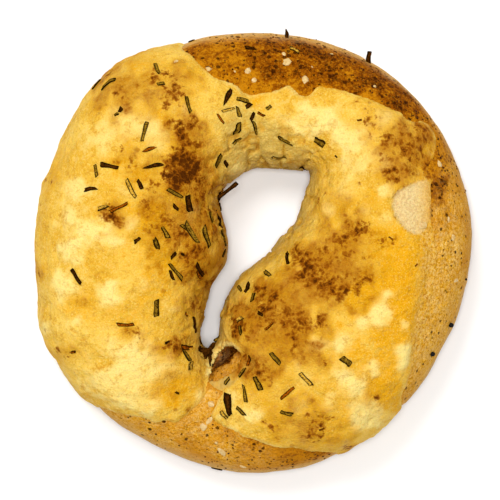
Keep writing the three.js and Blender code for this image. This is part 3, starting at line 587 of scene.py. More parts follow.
class Nodes:
    """Adds nodes to a tree, setting or linking their inputs as it goes."""

    def __init__(self, tree):
        self.tree = tree
        self.across = 0

    def add(self, kind, inputs=None, **settings):
        made = self.tree.nodes.new(kind)
        self.across += 180
        made.location = (self.across, -40 * (self.across // 180 % 6))
        for key, value in settings.items():
            setattr(made, key, value)
        for key, value in (inputs or {}).items():
            if isinstance(value, bpy.types.NodeSocket):
                self.tree.links.new(value, made.inputs[key])
            else:
                made.inputs[key].default_value = value
        return made

    def math(self, operation, a, b):
        return self.add("ShaderNodeMath", {0: a, 1: b}, operation=operation).outputs[0]

    def times(self, a, b):
        return self.math("MULTIPLY", a, b)

    def minus(self, a, b):
        return self.math("SUBTRACT", a, b)

    def plus(self, a, b, share=None):
        """a plus b, or a plus a share of b."""
        return self.math("ADD", a, b if share is None else self.times(b, share))

    def ramp(self, value, low, high, to_low=0.0, to_high=1.0):
        inputs = {"Value": value, "From Min": low, "From Max": high}
        inputs.update({"To Min": to_low, "To Max": to_high})
        kind = "ShaderNodeMapRange"
        return self.add(kind, inputs, interpolation_type="SMOOTHSTEP").outputs[0]

    def mix(self, factor, a, b):
        """Goes from a to b, each a colour or a socket, as the factor rises from 0 to 1."""
        inputs = {0: factor, 6: rgba(a), 7: rgba(b)}
        return self.add("ShaderNodeMix", inputs, data_type="RGBA").outputs[2]

    def noise(self, vector, scale, detail=2.0, roughness=0.5):
        inputs = {"Vector": vector, "Scale": scale, "Detail": detail, "Roughness": roughness}
        return self.add("ShaderNodeTexNoise", inputs).outputs[0]

    def cells(self, vector, scale):
        """Round cells: the distance from each one's middle, and two random numbers for each."""
        made = self.add("ShaderNodeTexVoronoi", {"Vector": vector, "Scale": scale})
        chances = self.add("ShaderNodeSeparateColor", {0: made.outputs["Color"]}).outputs
        return made.outputs["Distance"], chances[0], chances[1]

    def wobbled(self, vector, scale, amount):
        """The vector pushed about unevenly, so that round cells come out ragged."""
        push = self.add("ShaderNodeTexNoise", {"Vector": vector, "Scale": scale, "Detail": 2.0})
        pushed, kind = {0: push.outputs["Color"], 1: (0.5, 0.5, 0.5)}, "ShaderNodeVectorMath"
        centred = self.add(kind, pushed, operation="SUBTRACT").outputs[0]
        nudge = self.add(kind, {0: centred, "Scale": amount}, operation="SCALE").outputs[0]
        return self.add(kind, {0: vector, 1: nudge}).outputs[0]

    def mask(self, name):
        return self.add("ShaderNodeAttribute", attribute_name=name).outputs["Fac"]

    def here(self):
        return self.add("ShaderNodeTexCoord").outputs["Object"]

    def group(self, group, **inputs):
        """Places a node group that has one output, with the named inputs."""
        return self.add("ShaderNodeGroup", inputs, node_tree=group).outputs[0]

    def bump(self, height, strength, distance):
        inputs = {"Height": height, "Strength": strength, "Distance": distance}
        return self.add("ShaderNodeBump", inputs).outputs[0]

    def finish(self, base, roughness, normal, **sockets):
        """Ends a material in one Principled shader."""
        inputs = {"Base Color": base, "Roughness": roughness, "Normal": normal, "Metallic": 0.0}
        inputs.update({key.replace("_", " "): value for key, value in sockets.items()})
        shader = self.add("ShaderNodeBsdfPrincipled", inputs)
        self.add("ShaderNodeOutputMaterial", {"Surface": shader.outputs[0]})


def rgba(tint):
    return tint if isinstance(tint, bpy.types.NodeSocket) else (*tint, 1.0)


def scaled(rgb, *shares):
    """A colour with its three parts multiplied by one share or by three."""
    return tuple(c * k for c, k in zip(rgb, shares * (3 // len(shares))))


def new_material(name):
    """An empty material, and what adds nodes to it."""
    material = bpy.data.materials.new(name)
    material.use_nodes = True
    material.node_tree.nodes.clear()
    return material, Nodes(material.node_tree)


def shader_group(name, sockets, build):
    """A shader node group, built once, from (name, kind, default). The last one is its output."""
    group = bpy.data.node_groups.get(name)
    if group:
        return group
    group = bpy.data.node_groups.new(name, "ShaderNodeTree")
    for title, kind, default in sockets:
        way = "OUTPUT" if title == sockets[-1][0] else "INPUT"
        made = group.interface.new_socket(title, in_out=way, socket_type="NodeSocket" + kind)
        if default is not None:
            made.default_value = default
    nodes = Nodes(group)
    result = build(nodes, nodes.add("NodeGroupInput").outputs)
    nodes.add("NodeGroupOutput", {sockets[-1][0]: result})
    return group


def speckle_group():
    """Small irregular dots scattered through a surface."""

    def build(nodes, given):
        moved = nodes.wobbled(given["Vector"], 900.0, 0.0007)
        distance, chance, spread = nodes.cells(moved, given["Scale"])
        size = nodes.times(nodes.plus(nodes.times(spread, 0.7), 0.3), given["Size"])
        dot = nodes.ramp(nodes.minus(distance, size), 0.08, -0.06)
        kept = nodes.math("LESS_THAN", chance, given["Density"])
        return nodes.times(dot, kept)

    sockets = [
        ("Vector", "Vector", None),
        ("Scale", "Float", 900.0),
        ("Density", "Float", 0.3),
        ("Size", "Float", 0.3),
        ("Mask", "Float", None),
    ]
    return shader_group("Speckle", sockets, build)


def mottle_group():
    """Rough bread crust: gold and beige in patches, with pale grains and brown pits."""

    def build(nodes, given):
        coarse = nodes.noise(given["Vector"], 600.0, 5.0, 0.72)
        grain = nodes.noise(given["Vector"], 1400.0, 4.0, 0.8)
        tint = nodes.mix(nodes.ramp(coarse, 0.40, 0.60), given["Gold"], given["Beige"])
        tint = nodes.mix(nodes.ramp(grain, 0.52, 0.61, 0.0, 0.8), tint, given["Pale"])
        return nodes.mix(nodes.ramp(grain, 0.48, 0.39, 0.0, 0.85), tint, given["Brown"])

    tints = [(name, "Color", None) for name in ("Gold", "Beige", "Pale", "Brown", "Color")]
    return shader_group("Crust mottle", [("Vector", "Vector", None), *tints], build)


def relief_group():
    """A fine uneven height: broad dimples with a sharper grain over them."""

    def build(nodes, given):
        broad = nodes.noise(given["Vector"], given["Scale"], 3.0, 0.55)
        grain = nodes.noise(given["Vector"], nodes.times(given["Scale"], 4.3), 3.0, 0.6)
        return nodes.plus(broad, grain, given["Grain"])

    sockets = [
        ("Vector", "Vector", None),
        ("Scale", "Float", 500.0),
        ("Grain", "Float", 0.4),
        ("Height", "Float", None),
    ]
    return shader_group("Baked relief", sockets, build)


def speckle(nodes, here, scale, density, size):
    return nodes.group(speckle_group(), Vector=here, Scale=scale, Density=density, Size=size)


def mottle(nodes, here, crust, shade=1.0):
    tints = {"Gold": crust.straw, "Beige": crust.beige, "Pale": crust.streak, "Brown": crust.tan}
    inputs = {name: rgba(scaled(rgb, shade)) for name, rgb in tints.items()}
    return nodes.group(mottle_group(), Vector=here, **inputs)


def relief(nodes, here, scale, grain):
    return nodes.group(relief_group(), Vector=here, Scale=scale, Grain=grain)


# ---------------------------------------------------------------------------------------- settings


def paint(name, description, rgb):
    return FloatVectorProperty(
        name=name, description=description, subtype="COLOR", size=3, min=0, max=1, default=rgb
    )


def length(name, description, millimetres):
    size = millimetres * MM
    return FloatProperty(
        name=name, description=description, default=size, min=0, unit="LENGTH", precision=5
    )


def strength(name, description, value, unit="NONE"):
    return FloatProperty(name=name, description=description, default=value, min=0, unit=unit)


class BagelCrustSettings(bpy.types.PropertyGroup):
    mesh_pitch: length("Mesh pitch", "Size of a face of the dough's skin", 0.65)
    golden: paint("Golden", "The lightly baked crust", (0.54, 0.2, 0.003))
    straw: paint("Straw", "Dry crust beside the cheese", (0.82, 0.415, 0.022))
    beige: paint("Beige", "The pale waist that the heat misses", (0.8, 0.445, 0.085))
    dry: paint("Dry", "The floury band round the side", (0.66, 0.41, 0.17))
    tan: paint("Tan", "Pits in the pale crust", (0.46, 0.17, 0.006))
    brown: paint("Brown", "The toasted top", (0.27, 0.068, 0.0006))
    dark: paint("Dark", "The darkest toast and the specks", (0.042, 0.008, 0.0003))
    # Painted highlight: tiny light flecks that stand for glints of fat on the crust.
    painted_glint: paint("Glint", "Tiny light grains", (0.6, 0.31, 0.022))
    streak: paint("Streak", "Dry pale lines along the waist", (0.88, 0.6, 0.21))


class BagelCheeseSettings(bpy.types.PropertyGroup):
    thickness: length("Thickness", "Of the melted layer, away from its edge", 1.75)
    edge_radius: length("Edge radius", "How round the layer's edge is", 1.3)
    lumps: length("Lumps", "Height of the broad lumps", 0.4)
    yellow: paint("Yellow", "The melted cheese", (0.7, 0.435, 0.06))
    deep: paint("Deep yellow", "Its darker stretches", (0.62, 0.345, 0.026))
    pale: paint("Pale", "Blown-up bubbles", (0.775, 0.595, 0.185))
    amber: paint("Amber", "Where the fat has come out", (0.645, 0.31, 0.005))
    tan: paint("Tan", "The first browning", (0.385, 0.132, 0.0022))
    brown: paint("Brown", "Browned spots", (0.235, 0.061, 0.001))
    # This colour also paints shade by the hole and along the blister's left edge.
    scorch: paint("Scorch", "The darkest spots", (0.08, 0.019, 0.0006))
    film: paint("Film", "The torn bubble's thin skin", (0.50, 0.315, 0.075))
    # This colour also paints the shade down the walls of the hole.
    khaki: paint("Khaki", "Thin cheese over the dough", (0.5, 0.33, 0.065))
    bare: paint("Bare", "The blister's dry inside", (0.72, 0.54, 0.235))
    fibre: paint("Fibre", "The darker fibres in the blister", (0.52, 0.31, 0.12))


class BagelToppingSettings(bpy.types.PropertyGroup):
    green: paint("Leaf, green", "Dried leaf", (0.115, 0.062, 0.0045))
    dark: paint("Leaf, charred", "Charred leaf", (0.016, 0.0048, 0.0004))
    rust: paint("Leaf, rust", "Leaf baked to a red-brown", (0.17, 0.04, 0.0008))
    pale: paint("Leaf, pale", "Leaf under a film of fat", (0.37, 0.205, 0.022))
    margin: paint("Leaf margin", "The rolled edges of a leaf", (0.011, 0.004, 0.0004))
    salt: paint("Salt", "Salt flakes", (0.6, 0.43, 0.18))
    seed: paint("Seed", "Poppy seeds", (0.0035, 0.003, 0.0025))
    crumb: paint("Crumb", "Toasted crumbs", (0.03, 0.008, 0.001))
    crumb_light: paint("Crumb, lighter", "Their lighter patches", (0.15, 0.04, 0.003))
    crumb_count: IntProperty(name="Crumbs", description="How many toasted crumbs", default=380)


class BagelStageSettings(bpy.types.PropertyGroup):
    camera_height: length("Camera height", "Above the widest line of the dough", 2200)
    view_width: length("View width", "What the camera takes in at the widest line", 130)
    widest_line: length("Widest line", "The height at which the dough is widest", 13)
    floor_size: length("Floor size", "Length of each side of the floor", 6000)
    sky: strength("Sky", "Strength of the even light all round", 0.54)
    overhead: strength("Overhead", "Power of the lamp above", 62, "POWER")
    key: strength("Key", "Power of the soft key light", 52, "POWER")


# --------------------------------------------------------------------------------------- the crust


def crust_material(settings):
    material, nodes = new_material("Baked crust")
    here = nodes.here()
    toast = nodes.mask("toast")
    waist = nodes.mask("waist")
    cloudy = nodes.noise(here, 190.0, 4.0, 0.6)
    grainy = nodes.noise(here, 1100.0, 4.0, 0.75)
    lines = nodes.add("ShaderNodeMapping", {"Vector": here, "Scale": (240.0, 240.0, 1000.0)})
    streaks = nodes.noise(lines.outputs[0], 1.0, 4.0, 0.65)
    uneven = nodes.plus(nodes.times(cloudy, 0.4), grainy, 0.6)
    # darker where toasted, and where shadow is painted under the flap and in the crease
    browned_and_shaded = nodes.plus(toast, nodes.minus(uneven, 0.5), 5.0)
    tint = nodes.mix(nodes.ramp(browned_and_shaded, 0.15, 0.85), settings.golden, settings.brown)
    darkest = nodes.times(nodes.ramp(browned_and_shaded, 0.8, 1.3), 0.85)
    tint = nodes.mix(darkest, tint, settings.dark)
    uncooked = nodes.times(waist, nodes.ramp(toast, 0.35, 0.9, 1.0, 0.25))
    tint = nodes.mix(uncooked, tint, mottle(nodes, here, settings))
    floury = nodes.times(nodes.mask("rim"), nodes.ramp(streaks, 0.38, 0.58, 0.25, 0.9))
    tint = nodes.mix(floury, tint, settings.dry)
    # painted highlights: tiny light flecks for glints of fat
    painted_glints = nodes.ramp(nodes.noise(here, 2600.0, 3.0, 0.7), 0.56, 0.70, 0.0, 0.6)
    tint = nodes.mix(painted_glints, tint, settings.painted_glint)
    thick_specks = speckle(nodes, here, 760.0, nodes.times(toast, 0.62), 0.40)
    few_specks = speckle(nodes, here, 520.0, 0.3, 0.25)
    specks = nodes.math("MAXIMUM", nodes.times(thick_specks, 0.9), few_specks)
    tint = nodes.mix(nodes.times(specks, 0.92), tint, settings.dark)
    height = nodes.minus(relief(nodes, here, 520.0, 0.7), nodes.times(specks, 0.35))
    height = nodes.plus(height, streaks, nodes.times(waist, 0.9))
    shine = nodes.ramp(uneven, 0.35, 0.65, 0.55, 0.72)
    nodes.finish(tint, shine, nodes.bump(height, 1.0, 0.0012), Specular_IOR_Level=0.01)
    return material


def carved_away(skin):
    """How far the dough sinks in at each point, where the bubble is, and how deep in it."""
    places = skin.places
    hollow = inside_by(places[:, :2], curve_through(TORN_BUBBLE))
    # Towards the flap the dough is carved further in, and painted with the flap's shadow.
    deeper_and_shaded = smoothstep(-0.6, 2.8, flap_side(places[:, :2]) + 0.9 * fractal(places, 1.8, 37, 2))
    bubble = smoothstep(-1.0, 0.8, hollow) * (0.35 + 2.2 * deeper_and_shaded)
    past_end = np.maximum(CREASE_END - places[:, 1], 0) / 1.5
    crease = 1.6 * smoothstep(0.9, 0.2, np.hypot(places[:, 0] - CREASE_X, past_end))
    crease[places[:, 1] > CREASE_START] = 0
    carved = np.maximum(bubble, crease) * (places[:, 2] > 15)
    return carved, smoothstep(-0.6, 0.4, hollow), deeper_and_shaded


def crust_masks(places, bubble, deeper_and_shaded):
    """How toasted and shaded the crust is, how much of it is the pale waist, and its floury band.
    """
    level = places[:, 2]
    high = smoothstep(13, 21, level)
    back = smoothstep(28, 42, places[:, 1])
    patchy = 0.5 + 0.35 * fractal(places, 9, 21, 3)
    toast = 0.12 + 0.22 * back + 0.25 * (patchy - 0.5)
    toast += spotted(places, CRUST_TOAST_AND_SHADE, 0.4, 31) * (0.42 + 0.45 * patchy)
    toast *= 0.3 + 0.7 * high
    toast += 0.85 * smoothstep(3.5, 0.5, level) * (0.6 + 0.4 * patchy)
    # In the torn bubble the dough is golden brown, with painted shadow darker towards the flap.
    toast = toast * (1 - bubble) + bubble * (0.35 + 1.4 * deeper_and_shaded)
    waist = np.maximum(1 - high, spotted(places, PALE_CRUST, 0.3, 33))
    waist = waist * (1 - bubble) + 0.4 * bubble * (1 - deeper_and_shaded)
    waist *= smoothstep(2.5, 7, level) * (0.85 + 0.15 * patchy)
    rim = smoothstep(21, 15, level) * smoothstep(0.8, 4.5, level) * (0.6 + 0.4 * patchy)
    return {"toast": toast, "waist": waist, "rim": rim}


class BAGEL_OT_crust(bpy.types.Operator):
    """Make the baked ring of dough"""

    bl_idname = "bagel.crust"
    bl_label = "Crust"

    def execute(self, context):
        skin = dough_skin()
        carved, bubble, deeper_and_shaded = carved_away(skin)
        places = skin.places - skin.normals * carved[:, None]
        masks = crust_masks(places, bubble, deeper_and_shaded)
        piece = mesh_object("crust", places, skin.faces, masks)
        finish = crust_material(context.scene.bagel_crust)
        hand_over(piece, "bread_crust", finish, "bread_ring")
        return {"FINISHED"}


# -------------------------------------------------------------------------------------- the cheese


def cheese_material(settings):
    material, nodes = new_material("Melted cheese")
    here = nodes.here()
    broad = nodes.noise(here, 110.0, 3.0, 0.5)
    blotchy = nodes.minus(nodes.noise(here, 380.0, 4.0, 0.62), 0.5)
    fine = nodes.minus(nodes.noise(here, 1300.0, 4.0, 0.7), 0.5)
    rough = nodes.plus(blotchy, fine, 0.9)

    # the melted cheese itself, in patches
    tint = nodes.mix(nodes.ramp(broad, 0.38, 0.62), settings.yellow, settings.deep)
    # thin greyish cheese, and painted shade down the hole's walls
    khaki = nodes.plus(nodes.mask("khaki"), blotchy, 0.9)
    tint = nodes.mix(nodes.ramp(khaki, 0.15, 0.8, 0.0, 0.95), tint, settings.khaki)
    tint = nodes.mix(nodes.ramp(rough, 0.02, 0.22, 0.0, 0.55), tint, settings.pale)
    amber = nodes.plus(nodes.mask("amber"), rough, 1.3)
    tint = nodes.mix(nodes.ramp(amber, 0.2, 0.75), tint, settings.amber)
    pale = nodes.plus(nodes.mask("pale"), blotchy)
    tint = nodes.mix(nodes.ramp(pale, 0.1, 0.8), tint, settings.pale)
    tint = nodes.mix(nodes.ramp(rough, -0.02, -0.24, 0.0, 0.4), tint, settings.tan)
    grain = nodes.noise(here, 2300.0, 3.0, 0.8)
    tint = nodes.mix(nodes.ramp(grain, 0.53, 0.66, 0.0, 0.45), tint, settings.pale)
    tint = nodes.mix(nodes.ramp(grain, 0.47, 0.34, 0.0, 0.3), tint, settings.tan)

    # where it is thin: worn into the crust, or drawn out to a film
    worn = nodes.plus(nodes.mask("worn"), rough, 1.6)
    crust = mottle(nodes, here, bpy.context.scene.bagel_crust, 0.74)
    tint = nodes.mix(nodes.ramp(worn, 0.35, 0.9), tint, crust)
    film = nodes.plus(nodes.mask("film"), rough, 1.2)
    tint = nodes.mix(nodes.ramp(film, 0.2, 0.8, 0.0, 0.9), tint, settings.film)

    # browning, then charred spots broken up into beads, and painted shade by the hole's top
    toast = nodes.mask("toast")
    browned_and_shaded = nodes.plus(toast, nodes.plus(blotchy, fine, 0.5), 1.3)
    tint = nodes.mix(nodes.ramp(browned_and_shaded, 0.0, 0.5, 0.0, 0.5), tint, settings.amber)
    tint = nodes.mix(nodes.ramp(browned_and_shaded, 0.3, 1.1, 0.0, 0.85), tint, settings.tan)
    distance, chance, _ = nodes.cells(nodes.wobbled(here, 700.0, 0.003), 620.0)
    beads = nodes.plus(nodes.minus(0.40, distance), nodes.minus(chance, 0.5), 0.4)
    heat = nodes.plus(nodes.times(nodes.mask("scorch"), 0.95), toast, 0.3)
    patchy = nodes.plus(nodes.times(beads, 1.15), rough)
    burnt_and_shaded = nodes.plus(heat, patchy, nodes.ramp(heat, 0.05, 0.4))
    tint = nodes.mix(nodes.ramp(burnt_and_shaded, 0.15, 0.75, 0.0, 0.92), tint, settings.brown)
    tint = nodes.mix(nodes.ramp(burnt_and_shaded, 0.65, 1.15), tint, settings.scorch)

    # the blister's bare inside, and freckles over everything
    bare = nodes.mask("bare")
    fibres = nodes.noise(here, 1500.0, 4.0, 0.75)
    dry = nodes.mix(nodes.ramp(fibres, 0.44, 0.60, 0.0, 0.65), settings.bare, settings.fibre)
    tint = nodes.mix(bare, tint, dry)
    freckles = speckle(nodes, here, 300.0, 0.06, 0.25)
    tint = nodes.mix(nodes.times(freckles, 0.5), tint, settings.brown)

    height = relief(nodes, here, 560.0, nodes.ramp(toast, 0.0, 1.0, 0.3, 0.8))
    height = nodes.plus(height, bare, nodes.times(fibres, 0.6))
    nodes.finish(
        tint,
        nodes.ramp(burnt_and_shaded, 0.0, 0.8, 0.55, 0.70),
        nodes.bump(height, 0.9, 0.0009),
        Specular_IOR_Level=0.02,
        Subsurface_Weight=0.12,
        Subsurface_Radius=(1.0, 0.45, 0.12),
        Subsurface_Scale=0.0010,
    )
    return material


def flap_side(flat):
    """Above zero on the side of the torn bubble where its skin still stands up as a flap."""
    return (flat - FLAP_LINE) @ FLAP_WAY


def around_hole(places):
    """1 near the hole, falling to 0 on the outer half of the ring."""
    return smoothstep(40, 30, polar(places)[1])


def before_back(places):
    """1 from the front of the ring on, falling to 0 towards its back."""
    return smoothstep(31, 25, places[:, 1])


def folds(places):
    """Narrow creases in the cheese that runs down into the hole."""
    winding = np.abs(fractal(places * (1, 1, 0.55), 5.5, 59, 3))
    return smoothstep(0.16, 0.0, winding) * smoothstep(31, 24, places[:, 2]) * around_hole(places)


def rolled(places, reach):
    """The extra thickness of the rolls that sagged down the outside."""
    heading, away = polar(places)
    outside = np.clip((away - 40) / 16, 0, 1)
    total = np.zeros(len(places))
    for angle, spread, extra in ROLLS:
        off = (heading - angle + 180) % 360 - 180
        total += extra * np.exp(-((off / spread) ** 2)) * outside * smoothstep(0, 6, reach)
    return total


def lumps(places, height):
    """Broad and fine lumps, blown-up bubbles, and the folds that run into the hole."""
    total = height * fractal(places, 7.0, 47, 3)
    total += 0.22 * fractal(places * (1, 1, 0.6), 2.4, 53, 2)
    total += 0.45 * spotted(places, PALE, 0.25, 61) + 0.25 * spotted(places, SCORCHED_AND_SHADED, 0.35, 67)
    return total - 0.9 * folds(places)


class Melt:
    """The cheese over each point of the dough: its thickness and how far its borders are."""

    def __init__(self, skin, settings):
        places = skin.places
        flat = places[:, :2]
        wavy = 0.22 * fractal(places, 2.4, 41, 2)
        self.crack = -inside_by(flat, curve_through(TORN_BUBBLE)) + 0.5 * wavy
        self.film = inside_by(flat, curve_through(THIN_FILM))
        self.blister = inside_by(flat, curve_through(BLISTER)) + 0.4 * wavy
        self.reach = self.from_edge(places, wavy)
        self.layer = self.thickness(skin, settings)

    def from_edge(self, places, wavy):
        """How far each point is inside the layer's edge, negative where there is no cheese."""
        runs = 3.6 * fractal(places, 8, 45, 2) * smoothstep(20, 8, places[:, 2])
        edge = inside_by(places[:, :2], curve_through(CHEESE_EDGE)) + wavy + runs
        lowest = np.maximum(4.6 + 2.0 * fractal(places, 11, 43, 2) + 0.05 * places[:, 0], 2.6)
        return np.minimum(np.minimum(edge, places[:, 2] - lowest), self.crack)

    def thickness(self, skin, settings):
        """The layer's thickness in millimetres, below zero where there is none."""
        places, reach = skin.places, self.reach
        near = np.clip(reach / (settings.edge_radius / MM), 0, 1)
        rounded = np.sqrt(1 - (1 - near) ** 2)
        layer = settings.thickness / MM * (0.5 * rounded + 0.5 * smoothstep(0, 5.0, reach))
        layer += rolled(places, reach)

        # squeezed against the other side of the hole's tip
        tip = polar(places - (*TIP, 0))[1]
        squeezed = smoothstep(10, 3.5, tip) * smoothstep(1, 3, tip)
        layer *= 1 - 0.45 * squeezed * smoothstep(0.9, 0.1, skin.normals[:, 2])
        layer += lumps(places, settings.lumps / MM) * smoothstep(0.4, 3.0, reach)

        # drawn out to a film, and thinning to nothing on the right
        fallen = smoothstep(0.6, -0.6, flap_side(places[:, :2]))
        fallen *= smoothstep(3.0, 1.0, self.crack)
        thin = np.maximum(smoothstep(-0.6, 1.2, self.film), fallen)
        layer = np.where(reach > 0, layer * (1 - 0.8 * thin), layer)
        right = smoothstep(38, 43, places[:, 0]) * before_back(places)
        layer *= 1 - 0.93 * smoothstep(8, 0.8, reach) * right * (reach > 0)

        sunk = smoothstep(-0.15, 0.45, self.blister) * smoothstep(46.5, 42.5, places[:, 0])
        layer = layer * (1 - sunk) + 0.45 * sunk
        tucked = -0.35 * smoothstep(0, -0.8, reach)
        return np.where(reach > 0, np.maximum(layer, 0.02), tucked)


def cheese_masks(base, melt, used):
    """The masks for the finish, at the used points of the dough."""
    near, film, blister = melt.reach[used], melt.film[used], melt.blister[used]
    flap = flap_side(base[:, :2])
    right = smoothstep(38, 42, base[:, 0]) * before_back(base)
    drawn_out = smoothstep(-0.8, 1.2, film)

    # painted shade: greyer and darker further down the walls of the hole
    painted_wall_shade = smoothstep(29, 14, base[:, 2]) * around_hole(base)
    khaki = np.maximum(spotted(base, KHAKI_AND_SHADE, 0.3, 71), 0.75 * painted_wall_shade)
    worn = np.maximum(smoothstep(9.0, 0.0, near) * right, spotted(base, WORN, 0.35, 87))

    # the pale rim of the layer, but not along the film
    rim = smoothstep(1.5, 0.2, near) * smoothstep(10, 18, base[:, 2])
    rim *= 0.5 + 0.5 * noise(base, 5.0, 91)
    from_film = polar(base - (*FILM_MIDDLE, 0))[1]
    rim *= 1 - smoothstep(0.6, -0.6, flap) * smoothstep(7, 5, from_film)
    torn = smoothstep(1.6, 0.4, np.abs(inside_by(base[:, :2], curve_through(TORN_BUBBLE))))
    torn *= smoothstep(-0.4, 0.8, flap)
    pale = spotted(base, PALE, 0.3, 61) * (1 - worn)
    pale = np.maximum(pale, np.maximum(0.6 * rim * (1 - right), 0.95 * torn))

    # the blister's dark outline on its left: painted shadow under the cheese skin's edge
    outline = smoothstep(0.45, 0.1, np.abs(blister)) * smoothstep(43, 38, base[:, 0])
    inner = 0.8 * smoothstep(0.5, 0.1, np.abs(blister + 0.2)) * smoothstep(41, 38, base[:, 0])
    outline = np.maximum(outline, inner)
    # toasted spots, a few of them painted shade by the hole
    toasted = np.minimum(1.3 * spotted(base, TOASTED_AND_SHADED, 0.4, 83), 0.95)
    return {
        "scorch": np.maximum(spotted(base, SCORCHED_AND_SHADED, 0.4, 81), 0.4 * outline),
        "toast": np.maximum(toasted, 0.65 * folds(base)),
        "amber": spotted(base, AMBER, 0.4, 85),
        "pale": pale,
        "worn": worn,
        "khaki": np.maximum(khaki, 0.9 * drawn_out),
        "film": drawn_out,
        "bare": smoothstep(0.0, 0.5, blister) * smoothstep(47.5, 40.5, base[:, 0]),
    }


def shell(top, underside, faces):
    """A closed shell: the top's faces, the same turned over underneath, and walls between."""
    sides = np.concatenate([faces[:, [i, (i + 1) % 4]] for i in range(4)])
    keys = {(int(a), int(b)) for a, b in sides}
    border = sorted((a, b) for a, b in keys if (b, a) not in keys)
    count = len(top)
    walls = [(b, a, a + count, b + count) for a, b in border]
    faces = np.concatenate([faces, faces[:, ::-1] + count, np.array(walls)])
    return np.concatenate([top, underside]), faces


class BAGEL_OT_cheese(bpy.types.Operator):
    """Melt the cheese over the dough"""

    bl_idname = "bagel.cheese"
    bl_label = "Cheese"

    def execute(self, context):
        settings = context.scene.bagel_cheese
        skin = dough_skin()
        melt = Melt(skin, settings)
        kept = ((melt.reach > -0.9) & (melt.crack > -0.3))[skin.faces].all(axis=1)
        used = np.unique(skin.faces[kept])
        order = np.full(len(skin.places), -1)
        order[used] = np.arange(len(used))
        base, normals = skin.places[used], skin.normals[used]
        top = base + normals * melt.layer[used][:, None]
        underside = base - normals * CHEESE_ROOT
        places, faces = shell(top, underside, order[skin.faces[kept]])
        masks = cheese_masks(base, melt, used)
        masks = {name: np.tile(values, 2) for name, values in masks.items()}
        piece = mesh_object("cheese_layer", places, faces, masks)
        hand_over(piece, "cheese", cheese_material(settings), "melted_cheese")
        return {"FINISHED"}


# ------------------------------------------------------------------------------------ the rosemary


# How much lighter than its body the light patches of a leaf are.
LEAF_LIGHT = {"green": 2.3, "dark": 4.0, "rust": 2.0, "pale": 1.7}


def leaf_material(tone, settings):
    material, nodes = new_material(f"Rosemary leaf, {tone}")
    here = nodes.here()
    margin = nodes.mask("margin")
    blotchy = nodes.noise(here, 1300.0, 3.0, 0.6)
    fine = nodes.noise(here, 3000.0, 3.0, 0.65)
    body = getattr(settings, tone)
    lit = nodes.minus(blotchy, nodes.times(margin, 0.2))
    tint = nodes.mix(nodes.ramp(lit, 0.34, 0.58), body, scaled(body, LEAF_LIGHT[tone]))
    edge = nodes.plus(margin, nodes.minus(fine, 0.5))
    tint = nodes.mix(nodes.ramp(edge, 0.35, 0.8, 0.0, 0.95), tint, settings.margin)
    tint = nodes.mix(nodes.ramp(fine, 0.49, 0.60, 0.0, 0.8), tint, settings.margin)
    shine = nodes.ramp(blotchy, 0.3, 0.7, 0.55, 0.75)
    normal = nodes.bump(relief(nodes, here, 1500.0, 0.5), 0.5, 0.0002)
    nodes.finish(tint, shine, normal, Specular_IOR_Level=0.0)
    return material


def leaf_shape(length, width, rng, pointed=False):
    """A dried leaf along X with its margins rolled under: places, faces and the margin mask."""
    stations, around = 13, 14
    thick = min(0.6, 0.3 + 0.28 * width)
    curl = rng.uniform(-0.06, 0.06) * length
    twist = rng.uniform(-0.4, 0.4)
    taper = rng.uniform(-0.15, 0.35)
    groove = rng.uniform(0.3, 0.6)
    slants = [rng.uniform(-0.35, 0.35) for _ in range(2)]
    waver = [rng.uniform(0, 6.3) for _ in range(2)]
    veins = [rng.uniform(-0.5, 0.55) for _ in range(around)]
    places, margin = [], []
    for i in range(stations):
        t = i / (stations - 1)
        at_end = i in (0, stations - 1)
        along = (t - 0.5) * length
        uneven = 1 + 0.10 * math.sin(6 * t + waver[0]) + rng.uniform(-0.05, 0.05)
        half = width / 2 * (1 - taper * t) * uneven
        if pointed:
            half *= max(0.12, math.sin(math.pi * min(1, 0.08 + 0.92 * t)) ** 0.6)
        elif at_end:
            half *= 0.82
        slanted = slants[i > 0] * width * max(0.0, abs(t - 0.5) * 2 - 0.6) / 0.4
        bent = curl * (1 - 4 * (t - 0.5) ** 2)
        turn = twist * (t - 0.5)
        for j in range(around):
            angle = 2 * math.pi * j / around
            side, up = math.cos(angle), math.sin(angle)
            x = along + slanted * side + rng.uniform(-0.08, 0.08) * at_end * width
            y = half * math.copysign(abs(side) ** 0.75, side)
            y += 0.03 * width * math.sin(9 * t + waver[1])
            z = thick * 0.5 * (1 + math.copysign(abs(up) ** 0.8, up))
            if up > 0.2:
                z -= thick * groove * math.exp(-((side / 0.42) ** 2))
            if at_end:
                z = 0.82 * z + 0.09 * thick
            y, z = (
                y * math.cos(turn) - z * math.sin(turn),
                y * math.sin(turn) + z * math.cos(turn),
            )
            places.append((x, y + bent, z))
            under = float(smoothstep(0.22, 0.66, abs(side))) if up > -0.2 else 1.0
            margin.append(min(1.0, max(0.0, under + veins[j], 0.75 * at_end)))
    first, last = range(around), range((stations - 1) * around, stations * around)
    faces = [*tube(0, stations, around), tuple(first), tuple(reversed(last))]
    return np.array(places), faces, margin


def tube(start, rings, around):
    """The faces between rings of as many vertices each, one ring after the other."""
    faces = []
    for i in range(rings - 1):
        low = start + i * around
        for j in range(around):
            k = (j + 1) % around
            faces.append((low + j, low + around + j, low + around + k, low + k))
    return faces


def rest_on(x, y):
    """The point of the surface under (x, y), or beside it at the edge, and its normal."""
    point, normal, _, _ = tree().ray_cast(Vector((x, y, DROP_FROM)), DOWN)
    if point is None:
        found = [tree().find_nearest(Vector((x, y, level))) for level in SIDE_LEVELS]
        point, normal, _, away = min(found, key=lambda hit: hit[3])
        if away > BESIDE:
            raise RuntimeError(f"nothing lies near {x:.1f}, {y:.1f}")
    return point, normal


